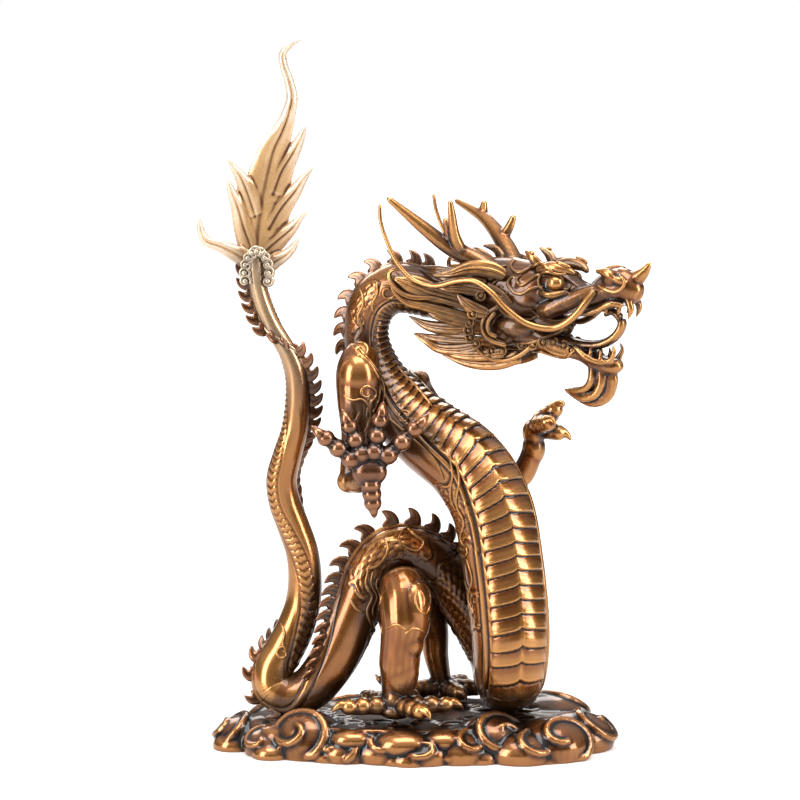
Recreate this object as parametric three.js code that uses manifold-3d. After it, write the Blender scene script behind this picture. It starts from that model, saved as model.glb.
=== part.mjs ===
import * as THREE from "three";
import { mergeVertices } from "three/addons/utils/BufferGeometryUtils.js";
import Module from "manifold-3d";

// A rearing dragon cast in bronze, on its own cast plinth of curling clouds.
// Millimetres, +Z up. The origin is the middle of the plinth's flat underside.
// The dragon faces +X and turns its head towards -Y, which is the side it is shown from.

// Driving dimensions
const FIGURE_HEIGHT = 572; // plinth's seat to the tip of the tail's flame
const PLINTH_LENGTH = 322;
const PLINTH_DEPTH = 156;
const PLINTH_SEAT = 28; // height of the flat that the dragon stands on
const SEAT_GAP = 0.3; // clearance all round where the dragon sits in the clouds
const ANTLER_THICKNESS = 12.6; // across the root of an antler
const WHISKER_THICKNESS = 5.4;
const TOE_THICKNESS = 14.5; // across a knuckle
const CLAW_LENGTH = 9.5;
const FIN_HEIGHT = 14.5; // the tallest fins of the back, above the skin
const FIN_PITCH = 16.6;
const FIN_THICKNESS = 4.6;
const BELLY_PLATE_PITCH = 14.6; // along the upright coil, the widest plates
const BELLY_PLATE_STEP = 1.5;
const FLAME_THICKNESS = 4.4;
const SCROLL_THICKNESS = 5; // across the roll that winds in over a cloud

// The figure was drawn from the front, from 9 degrees above the horizon, on a squared grid.
// A grid point is [to the right, up, away from the viewer], in squares, from the middle of the seat.
const DRAWN_FROM = THREE.MathUtils.degToRad(9);
const SQUARE = FIGURE_HEIGHT / 681; // the figure is 681 squares high

const wasm = await Module();
wasm.setup();

function onGrid([across, up, away]) {
  const height = (up - away * Math.sin(DRAWN_FROM)) / Math.cos(DRAWN_FROM);
  return new THREE.Vector3(across, away, height).multiplyScalar(SQUARE);
}

// The head has its own grid, [forward, to the near side, up], turned towards the viewer.
const HEAD_AT = onGrid([78, 422, -4]);
const HEAD_TURN = THREE.MathUtils.degToRad(30);
const HEAD_FORWARD = new THREE.Vector3(Math.cos(HEAD_TURN), -Math.sin(HEAD_TURN), 0);
const HEAD_NEAR = new THREE.Vector3(-Math.sin(HEAD_TURN), -Math.cos(HEAD_TURN), 0);

function onHead([forward, near, up]) {
  return HEAD_AT.clone()
    .addScaledVector(HEAD_FORWARD, forward * SQUARE)
    .addScaledVector(HEAD_NEAR, near * SQUARE)
    .add(new THREE.Vector3(0, 0, up * SQUARE));
}

const mirrored = (points) => points.map(([forward, near, up]) => [forward, -near, up]);

function solidOf(geometry) {
  geometry.deleteAttribute("normal");
  geometry.deleteAttribute("uv");
  const merged = mergeVertices(geometry, 1e-3);
  return new wasm.Manifold(
    new wasm.Mesh({
      numProp: 3,
      vertProperties: merged.attributes.position.array,
      triVerts: new Uint32Array(merged.index.array),
    }),
  );
}

const joined = (solids) => solids.reduce((all, one) => all.add(one));

// One of a row of values, read between its neighbours.
function between(values, place) {
  const first = Math.min(Math.floor(place), values.length - 2);
  const share = place - first;
  return values[first] * (1 - share) + values[first + 1] * share;
}

// A closed form swept along a smooth curve. Each station has its half width across the face
// direction and its half thickness along it. A pointed form ends at the last station in a tip.
function swept({ points, wide, thick = wide, face, sides = 6, steps = 4, pointed = false }) {
  const curve = new THREE.CatmullRomCurve3(points, false, "centripetal");
  const spoke = new THREE.Vector2();
  const form = pointed
    ? new THREE.CylinderGeometry(1, 0, 1, sides, steps)
    : new THREE.CylinderGeometry(1, 1, 1, sides, steps);
  const at = form.attributes.position;
  const corner = new THREE.Vector3();
  for (let i = 0; i < at.count; i += 1) {
    corner.fromBufferAttribute(at, i);
    const share = 0.5 - corner.y;
    const t = curve.getUtoTmapping(share);
    const place = t * (points.length - 1);
    const along = curve.getTangent(t);
    const out = face.clone().addScaledVector(along, -face.dot(along)).normalize();
    const across = out.clone().cross(along);
    spoke.set(corner.x, corner.z).normalize();
    const spot = curve
      .getPoint(t)
      .addScaledVector(across, spoke.x * between(wide, place) * SQUARE)
      .addScaledVector(out, spoke.y * between(thick, place) * SQUARE);
    at.setXYZ(i, spot.x, spot.y, spot.z);
  }
  return solidOf(form);
}

function lump(middle, halfSizes, across = 8, up = 5) {
  const form = new THREE.SphereGeometry(1, across, up);
  form.rotateX(Math.PI / 2);
  form.scale(...halfSizes.map((half) => half * SQUARE));
  form.translate(middle.x, middle.y, middle.z);
  return solidOf(form);
}

// The body's middle line, from inside the skull to the end of the tail:
// [across, up, away], radius, and which way the belly faces, as a direction or, where the tail
// stands upright, as the degrees that it is turned from the viewer.
const BODY = [
  [[44, 418, 0], 20, [0.1, -0.1, -1]],
  [[24, 421, 3], 22.5, [0.1, -0.2, -1]],
  [[4, 427, 8], 24, [0.2, -0.25, -1]],
  [[-18, 429, 14], 24.5, [0.45, -0.3, -0.85]],
  [[-38, 415, 19], 23.5, [0.78, -0.36, -0.5]],
  [[-46, 384, 21], 22, [0.92, -0.4, 0]],
  [[-38, 349, 18], 25.5, [0.85, -0.5, 0.3]],
  [[-17, 314, 10], 32, [0.66, -0.6, 0.5]],
  [[16, 282, -2], 37, [0.5, -0.62, 0.6]],
  [[54, 252, -14], 40, [0.5, -0.75, 0.42]],
  [[79, 211, -24], 40.5, [0.4, -0.9, 0.1]],
  [[90, 157, -30], 40.5, [0.35, -0.93, 0]],
  [[96, 112, -32], 40, [0.3, -0.95, 0]],
  [[99, 79, -31], 39, [0.26, -0.95, -0.1]],
  [[99, 51, -22], 37, [0.2, -0.8, -0.55]],
  [[97, 37.5, 0], 34.5, [0.1, -0.2, -0.98]],
  [[94, 39, 22], 32, [0.05, 0.3, -0.95]],
  [[88, 57, 42], 30, [-0.15, 0.85, -0.5]],
  [[72, 86, 48], 28, [-0.5, 0.8, -0.2]],
  [[50, 121, 44], 27, [-0.75, 0.45, -0.5]],
  [[26, 149, 33], 26.5, [-0.6, 0.15, -0.8]],
  [[0, 164, 22], 26.5, [-0.2, 0, -1]],
  [[-22, 163, 14], 26.5, [0.3, 0.05, -0.95]],
  [[-41, 144, 6], 26, [0.8, 0.15, -0.5]],
  [[-55, 110, 0], 25, [0.85, 0.35, -0.4]],
  [[-71, 72, -4], 24.5, [0.65, 0.65, -0.38]],
  [[-86, 45, -6], 23.5, [0.5, 0.8, -0.3]],
  [[-104, 25, -6], 22.5, [0.5, 0.85, 0.1]],
  [[-123, 19, -4], 21.5, [0.6, 0.6, 0.5]],
  [[-139, 27, -1], 20.5, [0.9, 0.3, 0.35]],
  [[-140, 44, 2], 20, [1, 0, 0.1]],
  [[-130, 63, 5], 19.5, 60],
  [[-118, 87, 8], 19, 38],
  [[-110, 112, 9], 18, 25],
  [[-108, 139, 9], 17, 6],
  [[-111, 165, 9], 16.5, -14],
  [[-119, 189, 8], 16.3, -28],
  [[-128, 214, 7], 16, -42],
  [[-131, 237, 6], 15.5, -42],
  [[-125, 262, 4], 14.5, -48],
  [[-117, 289, 2], 13.2, -68],
  [[-114, 317, 0], 12.2, -88],
  [[-116, 343, -1], 10.8, -98],
  [[-123, 363, -1], 9.5, -115],
  [[-131, 377, 0], 9, -180],
  [[-140, 392, 1], 9, -245],
  [[-149, 413, 2], 9, -266],
  [[-155, 436, 2], 8.7, -270],
  [[-156, 455, 1], 8.2, -270],
  [[-156, 467, 0], 5, -270],
];

const UPRIGHT_COIL_STATION = 13; // the plates are carved down to here, and only grooved after it
const TORSO_STATION = 8;
// Stations between which the ridge has fins: it is bare where the coil folds on itself or lies in
// the clouds.
const FIN_RUNS = [[2, 13.2], [18.2, 26.3], [28.6, 47.6]];

function facing(belly) {
  if (typeof belly !== "number") return new THREE.Vector3(...belly);
  const turn = THREE.MathUtils.degToRad(belly);
  return new THREE.Vector3(Math.sin(turn), -Math.cos(turn), 0);
}

const bodyLine = new THREE.CatmullRomCurve3(
  BODY.map(([point]) => onGrid(point)),
  false,
  "centripetal",
);
bodyLine.arcLengthDivisions = 2400;
const bodyRadii = BODY.map(([, radius]) => radius * SQUARE);
const bellies = BODY.map(([, , belly]) => facing(belly));
const bellyPart = (axis) => bellies.map((way) => way[axis]);

// Where the body is, how thick it is and which way it faces, at a length from its start.
function bodyAt(length) {
  const t = bodyLine.getUtoTmapping(0, length);
  const place = t * (BODY.length - 1);
  const along = bodyLine.getTangent(t);
  const belly = new THREE.Vector3(
    ...["x", "y", "z"].map((axis) => between(bellyPart(axis), place)),
  );
  belly.addScaledVector(along, -belly.dot(along)).normalize();
  return {
    middle: bodyLine.getPoint(t),
    along,
    belly,
    side: belly.clone().cross(along),
    radius: between(bodyRadii, place),
    place,
  };
}

const BODY_LENGTH = bodyLine.getLength();

function lengthAtStation(station) {
  let low = 0;
  let high = BODY_LENGTH;
  for (let i = 0; i < 30; i += 1) {
    const middle = (low + high) / 2;
    if (bodyAt(middle).place < station) low = middle;
    else high = middle;
  }
  return low;
}

// Round the body, in radians from the middle of the belly: the plates' middle and edges, the
// grooves that bound them, the flanks and the ridge of the back.
const BAND_EDGE = 0.82;
const GROOVE = 0.9;
const ROUND_THE_BODY = [0, BAND_EDGE, GROOVE, 1.75, 2.6, Math.PI, -2.6, -1.75, -GROOVE, -BAND_EDGE];
const PLATE_POINT = 0.24; // how far a plate's middle reaches down, as a share of its pitch
const GROOVE_DEPTH = 1.2;
const BARE_RING_PITCH = 21 * SQUARE;
const FIN_ROOT_SHARE = 0.45; // how deep a fin is sunk, as a share of the body's radius

function body() {
  const rings = [];
  const platesEnd = lengthAtStation(UPRIGHT_COIL_STATION);
  const torsoStart = lengthAtStation(TORSO_STATION);
  let length = 0;
  while (length < platesEnd) {
    const pitch = BELLY_PLATE_PITCH * (0.66 + 0.34 * Math.min(1, length / torsoStart));
    rings.push({ length, pitch, lift: 0 });
    rings.push({ length: length + pitch * 0.84, pitch, lift: BELLY_PLATE_STEP });
    length += pitch;
  }
  const bareRings = Math.round((BODY_LENGTH - length) / BARE_RING_PITCH);
  for (let i = 0; i <= bareRings; i += 1) {
    const at = length + ((BODY_LENGTH - length) * i) / bareRings;
    rings.push({ length: at, pitch: 0, lift: 0 });
  }
  const form = new THREE.CylinderGeometry(1, 1, 1, ROUND_THE_BODY.length, rings.length - 1);
  const at = form.attributes.position;
  const corner = new THREE.Vector3();
  for (let i = 0; i < at.count; i += 1) {
    corner.fromBufferAttribute(at, i);
    const ring = rings[Math.round((0.5 - corner.y) * (rings.length - 1))];
    const turn = Math.atan2(corner.x, corner.z) / (2 * Math.PI);
    const count = ROUND_THE_BODY.length;
    const angle = ROUND_THE_BODY[(Math.round(turn * count) + count) % count];
    const onBelly = Math.max(0, 1 - Math.abs(angle) / BAND_EDGE);
    const spot = bodyAt(Math.min(BODY_LENGTH, ring.length + onBelly * PLATE_POINT * ring.pitch));
    const inGroove = Math.abs(angle) === GROOVE ? GROOVE_DEPTH : 0;
    const raised = Math.abs(angle) < GROOVE ? ring.lift : 0;
    const reach = Math.hypot(corner.x, corner.z) * (spot.radius + raised - inGroove);
    const { middle } = spot;
    middle.addScaledVector(spot.belly, Math.cos(angle) * reach);
    middle.addScaledVector(spot.side, Math.sin(angle) * reach);
    at.setXYZ(i, middle.x, middle.y, middle.z);
  }
  return solidOf(form);
}

// A fin of the back: a curved thorn that leans towards the tail.
function fin(length, height, pitch) {
  const { middle, along, belly, radius } = bodyAt(length);
  const out = (rise, lean) =>
    middle
      .clone()
      .addScaledVector(belly, -(radius + rise))
      .addScaledVector(along, lean);
  return swept({
    points: [
      out(-FIN_ROOT_SHARE * radius, -pitch * 0.1),
      out(height * 0.5, pitch * 0.1),
      out(height, pitch * 0.75),
    ],
    wide: [FIN_THICKNESS / 2, FIN_THICKNESS / 2.6, 0].map((half) => half / SQUARE),
    thick: [pitch * 0.56, pitch * 0.38, 0].map((half) => half / SQUARE),
    face: along.negate(),
    sides: 3,
    steps: 2,
    pointed: true,
  });
}

// Fins are low behind the head, tall over the arch of the back and small on the tail.
const FIN_HEIGHTS = [
  [0, 0.75],
  [6, 0.8],
  [9, 0.8],
  [13, 0.6],
  [18, 0.6],
  [19, 0.8],
  [21, 1],
  [25, 0.8],
  [29, 0.62],
  [35, 0.6],
  [41, 0.72],
  [47, 0.62],
];

function finShare(place) {
  const next = FIN_HEIGHTS.findIndex(([station]) => station > place);
  if (next < 0) return FIN_HEIGHTS.at(-1)[1];
  const [from, low] = FIN_HEIGHTS[Math.max(0, next - 1)];
  const [to, high] = FIN_HEIGHTS[next];
  return low + ((high - low) * (place - from)) / (to - from);
}

function fins() {
  return FIN_RUNS.flatMap(([first, last]) => {
    const solids = [];
    const end = lengthAtStation(last);
    let length = lengthAtStation(first);
    while (length < end) {
      const share = finShare(bodyAt(length).place);
      const pitch = FIN_PITCH * (0.6 + 0.4 * share);
      solids.push(fin(length, FIN_HEIGHT * share, pitch));
      length += pitch;
    }
    return solids;
  });
}

const UP = new THREE.Vector3(0, 0, 1);
const AWAY = new THREE.Vector3(0, 1, 0);

// A toe: knuckles and a hooked claw. Along it in shares of the toe's length, or of the claw's,
// then raised and half as thick in shares of the toe's thickness.
const TOE = [
  [-0.1, 0.1, 0.45],
  [0.26, 0.3, 0.56],
  [0.42, 0.3, 0.36],
  [0.58, 0.35, 0.54],
  [0.74, 0.3, 0.34],
  [0.9, 0.3, 0.48],
];
const CLAW = [
  [0.5, 0.32, 0.28],
  [1, 0, 0],
];

function toe(root, way, raised, length) {
  const spot = (along, lift) =>
    root.clone().addScaledVector(way, along).addScaledVector(raised, lift * TOE_THICKNESS);
  const points = TOE.map(([along, lift]) => spot(along * length, lift));
  const hook = CLAW.map(([share, lift]) => spot(0.9 * length + share * CLAW_LENGTH, lift));
  const radii = [...TOE, ...CLAW].map(([, , share]) => (share * TOE_THICKNESS) / SQUARE);
  const whole = [...points, ...hook];
  return swept({ points: whole, wide: radii, face: raised, sides: 4, steps: 5, pointed: true });
}

// Five toes spread like a star about a palm. Each is [degrees round the palm, length].
function paw(palm, first, second, raised, toes) {
  return toes.map(([degrees, length]) => {
    const turn = THREE.MathUtils.degToRad(degrees);
    const way = first.clone().multiplyScalar(Math.cos(turn)).addScaledVector(second, Math.sin(turn));
    return toe(palm, way.normalize(), raised, length * SQUARE);
  });
}

function limb(stations, sides = 7) {
  return swept({
    points: stations.map(([point]) => onGrid(point)),
    wide: stations.map(([, radius]) => radius),
    face: AWAY,
    sides,
    steps: stations.length + 2,
  });
}

const NEAR_HIND_LEG = [
  [[-14, 146, -8], 19],
  [[-8, 120, -27], 26],
  [[-7, 95, -36], 25.5],
  [[-11, 73, -39], 21],
  [[-13, 50, -39], 20.5],
  [[-17, 28, -38], 14],
  [[-18, 8, -37], 12.5],
];
const FAR_HIND_LEG = [
  [[3, 142, 36], 18],
  [[14, 112, 54], 20],
  [[23, 80, 62], 15],
  [[25, 56, 64], 13],
  [[30, 32, 64], 10.5],
  [[32, 17, 64], 10.5],
];
const NEAR_FORELEG = [
  [[-48, 372, 2], 16],
  [[-54, 346, -14], 21.5],
  [[-55, 318, -21], 20],
  [[-55, 286, -24], 16],
  [[-58, 258, -28], 13.5],
  [[-60, 238, -34], 11.5],
  [[-52, 236, -46], 10.5],
  [[-43, 243, -56], 11],
];
const FAR_FORELEG = [
  [[0, 345, 34], 16],
  [[6, 322, 46], 17.5],
  [[38, 286, 56], 15],
  [[78, 256, 60], 13],
  [[108, 238, 62], 12.5],
  [[119, 254, 62], 11.5],
  [[125, 276, 61], 10.5],
];

function legs() {
  const nearSole = onGrid([-16, 6, -40]);
  const farSole = onGrid([34, 16, 66]);
  const right = new THREE.Vector3(1, 0, 0);
  const towards = new THREE.Vector3(0, -1, 0);
  const nearPalm = onGrid([-42, 246, -62]);
  const farPalm = onGrid([124, 284, 60]);
  const fist = new THREE.Vector3(0.85, -0.3, 0.45).normalize();
  return [
    limb(NEAR_HIND_LEG),
    limb(FAR_HIND_LEG),
    limb(NEAR_FORELEG),
    limb(FAR_FORELEG),
    lump(nearSole, [17, 15, 9], 7, 4),
    lump(farSole, [15, 13, 9], 6, 4),
    lump(nearPalm, [16, 9, 15], 7, 4),
    lump(farPalm, [12, 13, 14], 6, 4),
    ...paw(nearSole, right, towards, UP, [[2, 56], [52, 44], [166, 54], [-132, 44], [-62, 38]]),
    ...paw(farSole, right, towards, UP, [[5, 36], [-55, 32], [60, 32], [172, 30]]),
    ...paw(nearPalm, right, UP, towards, [[141, 64], [113, 61], [79, 63], [45, 72], [-84, 36]]),
    ...paw(farPalm, fist, new THREE.Vector3(-0.4, 0, 0.9), UP, [[14, 32], [-38, 28]]),
    ...paw(farPalm, fist, AWAY, UP, [[45, 28], [-45, 28]]),
  ];
}

// Skull and upper jaw: [forward, up], half width, half height.
const UPPER_HEAD = [
  [[-50, 2], 15, 16],
  [[-22, 5], 25, 27],
  [[4, 6], 28, 32],
  [[30, 4], 29, 35],
  [[56, 8], 28, 30],
  [[80, 9], 24, 25],
  [[98, 6], 20, 17],
  [[116, 5], 17, 14],
  [[132, 14], 17, 18],
  [[148, 18], 17, 19],
  [[161, 12], 13, 14],
  [[169, 8], 6, 7],
];
const LOWER_JAW = [
  [[16, -24], 30, 20],
  [[50, -38], 22, 15],
  [[86, -48], 17, 10],
  [[112, -53], 13, 8],
  [[134, -58], 10, 8],
  [[146, -54], 5, 5],
];

function jaw(stations, steps) {
  return swept({
    points: stations.map(([[forward, up]]) => onHead([forward, 0, up])),
    wide: stations.map(([, wide]) => wide),
    thick: stations.map(([, , thick]) => thick),
    face: UP,
    sides: 8,
    steps,
  });
}

// A round or flattened strand on the head, and the same strand on the far side.
function strands(points, wide, thick, { sides = 5, steps = 4, face = HEAD_NEAR } = {}) {
  const pointed = wide.at(-1) === 0;
  const one = (path) => swept({ points: path.map(onHead), wide, thick, face, sides, steps, pointed });
  return [one(points), one(mirrored(points))];
}

const ANTLER = {
  beam: [[2, 22, 26], [-16, 29, 41], [-36, 38, 54], [-58, 49, 74], [-84, 62, 99]],
  rear: [[-60, 50, 74], [-64, 53, 84], [-66, 55, 93]],
  front: [[-31, 35, 48], [-29, 39, 66], [-27, 42, 80]],
};
const WHISKER = [
  [125, 13, 15],
  [119, 21, 4],
  [108, 26, -11],
  [87, 29, -24],
  [62, 36, -21],
  [41, 41, -7],
  [25, 44, 9],
  [7, 46, 19],
  [-11, 48, 18],
  [-34, 52, 12],
  [-56, 55, 17],
  [-74, 57, 33],
  [-86, 57, 54],
  [-94, 56, 74],
  [-96, 54, 91],
];
const EAR = [[6, 28, 24], [-18, 38, 27], [-50, 43, 19]];
const BROW = [[58, 17, 26], [80, 19, 34], [100, 14, 31]];
const BROW_TUFT = [[64, 14, 34], [54, 17, 45], [40, 15, 53]];
const CREST = [[30, 8, 34], [0, 12, 46], [-34, 12, 44]];
const FANG = [[157, 9, 6], [159, 9, -6], [155, 9, -15]];
// Locks of the mane on one side: root, middle, tip, half width.
const LOCKS = [
  [[12, 22, 20], [-25, 45, 18], [-80, 52, 16], 10],
  [[14, 24, 8], [-25, 44, 2], [-74, 50, -6], 11],
  [[14, 24, -8], [-22, 38, -17], [-68, 38, -24], 11],
  [[16, 22, -22], [-16, 29, -40], [-58, 27, -43], 11],
  [[28, 18, -34], [-2, 24, -57], [-42, 20, -58], 11],
  [[50, 14, -42], [24, 16, -66], [-16, 12, -72], 11],
];

function head() {
  const antlerRadius = ANTLER_THICKNESS / 2 / SQUARE;
  const whiskerWide = WHISKER.map((_, i) => (1.15 - 0.055 * i) * (WHISKER_THICKNESS / 2 / SQUARE));
  const shares = (shape, size) => shape.map((share) => share * size);
  return [
    jaw(UPPER_HEAD, 12),
    jaw(LOWER_JAW, 7),
    ...[1, -1].flatMap((near) => [
      lump(onHead([84, 19 * near, 19]), [9, 8, 8], 6, 4),
      lump(onHead([140, 11 * near, 24]), [10, 8, 9], 6, 4),
    ]),
    ...strands(ANTLER.beam, shares([1.15, 1, 0.85, 0.65, 0], antlerRadius), undefined, { steps: 5 }),
    ...strands(ANTLER.rear, shares([0.5, 0.45, 0], antlerRadius), undefined, { sides: 4, steps: 2 }),
    ...strands(ANTLER.front, shares([0.7, 0.5, 0], antlerRadius), undefined, { sides: 4, steps: 2 }),
    ...strands(EAR, [5, 8, 0], [4, 4, 0], { sides: 4, steps: 3 }),
    ...strands(WHISKER, whiskerWide, undefined, { sides: 3, steps: 13 }),
    ...strands(BROW, [6, 7, 0], undefined, { sides: 4, steps: 3, face: UP }),
    ...strands(BROW_TUFT, [6, 4, 0], undefined, { sides: 4, steps: 2 }),
    ...strands(FANG, [3.5, 3, 0], undefined, { sides: 4, steps: 2 }),
    ...LOCKS.flatMap(([root, middle, tip, half]) =>
      strands([root, middle, tip], shares([0.8, 1.1, 0], half), [7, 5, 0], { sides: 4, steps: 3 }),
    ),
    ...strands(CREST, [8, 6, 0], [6, 5, 0], { sides: 4, steps: 3, face: UP }),
    swept({
      points: [[150, 0, 24], [164, 0, 30], [179, 0, 43]].map(onHead),
      wide: [8, 6, 0],
      face: HEAD_NEAR,
      sides: 5,
      steps: 3,
      pointed: true,
    }),
    swept({
      points: [[70, 0, -34], [108, 0, -42], [132, 0, -38], [140, 0, -25], [134, 0, -15]].map(onHead),
      wide: [12, 9, 8, 6, 3],
      thick: [6, 4, 3.5, 3, 1.5],
      face: UP.clone().add(HEAD_FORWARD.clone().multiplyScalar(-0.6)),
      sides: 4,
      steps: 6,
    }),
    swept({
      points: [[128, 0, -54], [131, 0, -78], [116, 0, -93], [82, 0, -88]].map(onHead),
      wide: [9, 12, 10, 0],
      thick: [9, 11, 9, 0],
      face: HEAD_NEAR,
      steps: 5,
      pointed: true,
    }),
  ];
}

// The flame at the end of the tail: a thin blade with tongues. Each tongue's stations are
// [across, up, away], half width.
const FLAME = [
  [[[-156, 440, 6], 10], [[-153, 487, 8], 22], [[-149, 517, 9], 22], [[-143, 544, 9], 18],
   [[-137, 566, 8], 15], [[-129, 580, 7], 11], [[-122, 599, 6], 8], [[-118, 617, 6], 5.8],
   [[-121, 633, 7], 5.4], [[-126, 646, 8], 4.6], [[-127, 659, 8], 4], [[-120, 668, 6], 3.2],
   [[-110, 673.5, 4], 0]],
  [[[-158, 515, 8], 9], [[-171, 541, 5], 6], [[-179, 551, 2], 4], [[-185, 557.5, 0], 0]],
  [[[-166, 490, 8], 11], [[-178, 514, 5], 7], [[-181, 527, 3], 4.5], [[-184, 538.5, 1], 0]],
  [[[-162, 457, 6], 9], [[-184, 467, 0], 6], [[-203, 478, -7], 5], [[-210, 488, -10], 3.4],
   [[-211, 502, -8], 0]],
  [[[-132, 540, 9], 8], [[-117, 566, 8], 6], [[-109, 578, 6], 3.8], [[-104.5, 591, 4], 0]],
  [[[-136, 503, 9], 9], [[-119, 524, 9], 6.5], [[-108, 539, 7], 4], [[-96.5, 550, 4], 0]],
  [[[-142, 470, 8], 9], [[-123, 486, 8], 6.5], [[-112, 497, 6], 4], [[-102.5, 505, 3], 0]],
  [[[-152, 448, 6], 8], [[-130, 458, 5], 5.5], [[-120, 466, 2], 3.8], [[-112.4, 479.7, -1], 0]],
];

function flame() {
  const half = FLAME_THICKNESS / 2 / SQUARE;
  return FLAME.map((tongue) =>
    swept({
      points: tongue.map(([point]) => onGrid(point)),
      wide: tongue.map(([, wide]) => wide),
      thick: tongue.map(([, wide]) => Math.min(half, wide)),
      face: AWAY,
      sides: 4,
      steps: tongue.length - 1,
      pointed: true,
    }),
  );
}

// Curls that ring the root of the flame.
function collar() {
  const curls = 5;
  return Array.from({ length: curls }, (_, i) => {
    const turn = Math.PI * (0.02 + (0.96 * i) / (curls - 1));
    const spot = [-155 + 11 * Math.cos(turn), 445 + 18 * Math.sin(turn), 2];
    return lump(onGrid(spot), [6.5, 10.5, 6.5], 5, 4);
  });
}

// The clouds of the plinth, in shares of its half length and half depth:
// [across, away], half width in shares of the plinth's depth, height in shares of the seat's.
const CLOUDS = [
  [[-0.86, 0.02], 0.19, 0.95],
  [[-0.72, -0.36], 0.17, 0.85],
  [[-0.66, 0.42], 0.22, 1.15],
  [[-0.54, -0.42], 0.2, 1.35],
  [[-0.33, 0.64], 0.22, 1.05],
  [[-0.34, -0.6], 0.17, 0.8],
  [[-0.14, -0.6], 0.2, 0.9],
  [[0.02, 0.7], 0.24, 1],
  [[0.06, -0.7], 0.18, 0.85],
  [[0.25, -0.64], 0.19, 0.95],
  [[0.42, 0.66], 0.2, 0.95],
  [[0.4, -0.52], 0.2, 1.3],
  [[0.57, -0.66], 0.19, 0.9],
  [[0.72, -0.5], 0.22, 1.2],
  [[0.73, 0.42], 0.24, 1.3],
  [[0.86, -0.08], 0.22, 1.1],
  [[0.9, 0.2], 0.15, 0.7],
];
const CORE_SHARE = 0.8; // the flat core under the seat, as a share of the plinth's plan
const ROLLED_HEIGHT = 1.1; // clouds from this height up are rolled into scrolls
const SCROLL_TURNS = 1.25;

// A roll that winds in over a cloud's outer shoulder to its eye.
function scroll(middle, halves, outwards, thickness) {
  const pole = new THREE.Vector3(Math.cos(outwards), Math.sin(outwards), 0.75).normalize();
  const first = pole.clone().cross(UP).normalize();
  const second = pole.clone().cross(first);
  const hops = 8;
  const points = Array.from({ length: hops + 1 }, (_, i) => {
    const lean = THREE.MathUtils.lerp(1.15, 0.2, i / hops);
    const turn = 0.6 + ((2 * Math.PI * i) / hops) * SCROLL_TURNS;
    return pole
      .clone()
      .multiplyScalar(Math.cos(lean))
      .addScaledVector(first, Math.sin(lean) * Math.cos(turn))
      .addScaledVector(second, Math.sin(lean) * Math.sin(turn))
      .multiply(halves)
      .add(middle);
  });
  const wide = points.map(() => thickness / 2 / SQUARE);
  return swept({ points, wide, face: pole, sides: 3, steps: 7 });
}

function plinth(grown) {
  const half = PLINTH_LENGTH / 2;
  const depth = PLINTH_DEPTH / 2;
  const core = new THREE.CylinderGeometry(CORE_SHARE, CORE_SHARE * 1.06, PLINTH_SEAT + grown, 18, 1);
  core.rotateX(Math.PI / 2);
  core.scale(half, depth, 1);
  core.translate(0, 0, (PLINTH_SEAT + grown) / 2);
  const solids = [solidOf(core)];
  for (const [[across, away], width, height] of CLOUDS) {
    const radius = width * PLINTH_DEPTH + grown;
    const halves = new THREE.Vector3(radius, radius * 0.88, height * PLINTH_SEAT * 0.72 + grown);
    const middle = new THREE.Vector3(across * half, away * depth, height * PLINTH_SEAT * 0.28);
    const cloud = new THREE.SphereGeometry(1, 8, 5);
    cloud.rotateX(Math.PI / 2);
    cloud.scale(...halves);
    cloud.translate(...middle);
    solids.push(solidOf(cloud));
    if (height < ROLLED_HEIGHT) continue;
    const outwards = Math.atan2(away, across * 0.8);
    solids.push(scroll(middle, halves, outwards, SCROLL_THICKNESS + 2 * grown));
  }
  const below = new THREE.BoxGeometry(PLINTH_LENGTH * 2, PLINTH_DEPTH * 2, PLINTH_SEAT * 4);
  below.translate(0, 0, -PLINTH_SEAT * 2);
  return joined(solids).subtract(solidOf(below));
}

const dragonSolid = joined([body(), ...fins(), ...legs(), ...head(), ...flame(), ...collar()]);
const plinthTurned = new THREE.Vector3(0, 0, -PLINTH_SEAT);
const seated = dragonSolid.subtract(plinth(SEAT_GAP).translate(plinthTurned.toArray()));

function bronze(colour, roughness) {
  return new THREE.MeshStandardMaterial({ color: colour, roughness, metalness: 1 });
}

function meshOf(name, solid, material) {
  const { vertProperties, triVerts, numProp } = solid.getMesh();
  const form = new THREE.BufferGeometry();
  const corners = new THREE.InterleavedBuffer(vertProperties, numProp);
  form.setAttribute("position", new THREE.InterleavedBufferAttribute(corners, 3, 0));
  form.setIndex(new THREE.BufferAttribute(triVerts, 1));
  const mesh = new THREE.Mesh(form.toNonIndexed(), material);
  mesh.name = name;
  return mesh;
}

const sculpture = new THREE.Group();
const dragon = meshOf("dragon", seated, bronze(0x8a5424, 0.28));
dragon.position.z = PLINTH_SEAT;
const clouds = meshOf("cloud_plinth", plinth(0), bronze(0x6e4120, 0.32));
sculpture.add(dragon, clouds);

export default sculpture;
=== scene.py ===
import math
import bpy
import numpy as np
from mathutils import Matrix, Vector
from mathutils.bvhtree import BVHTree


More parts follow.
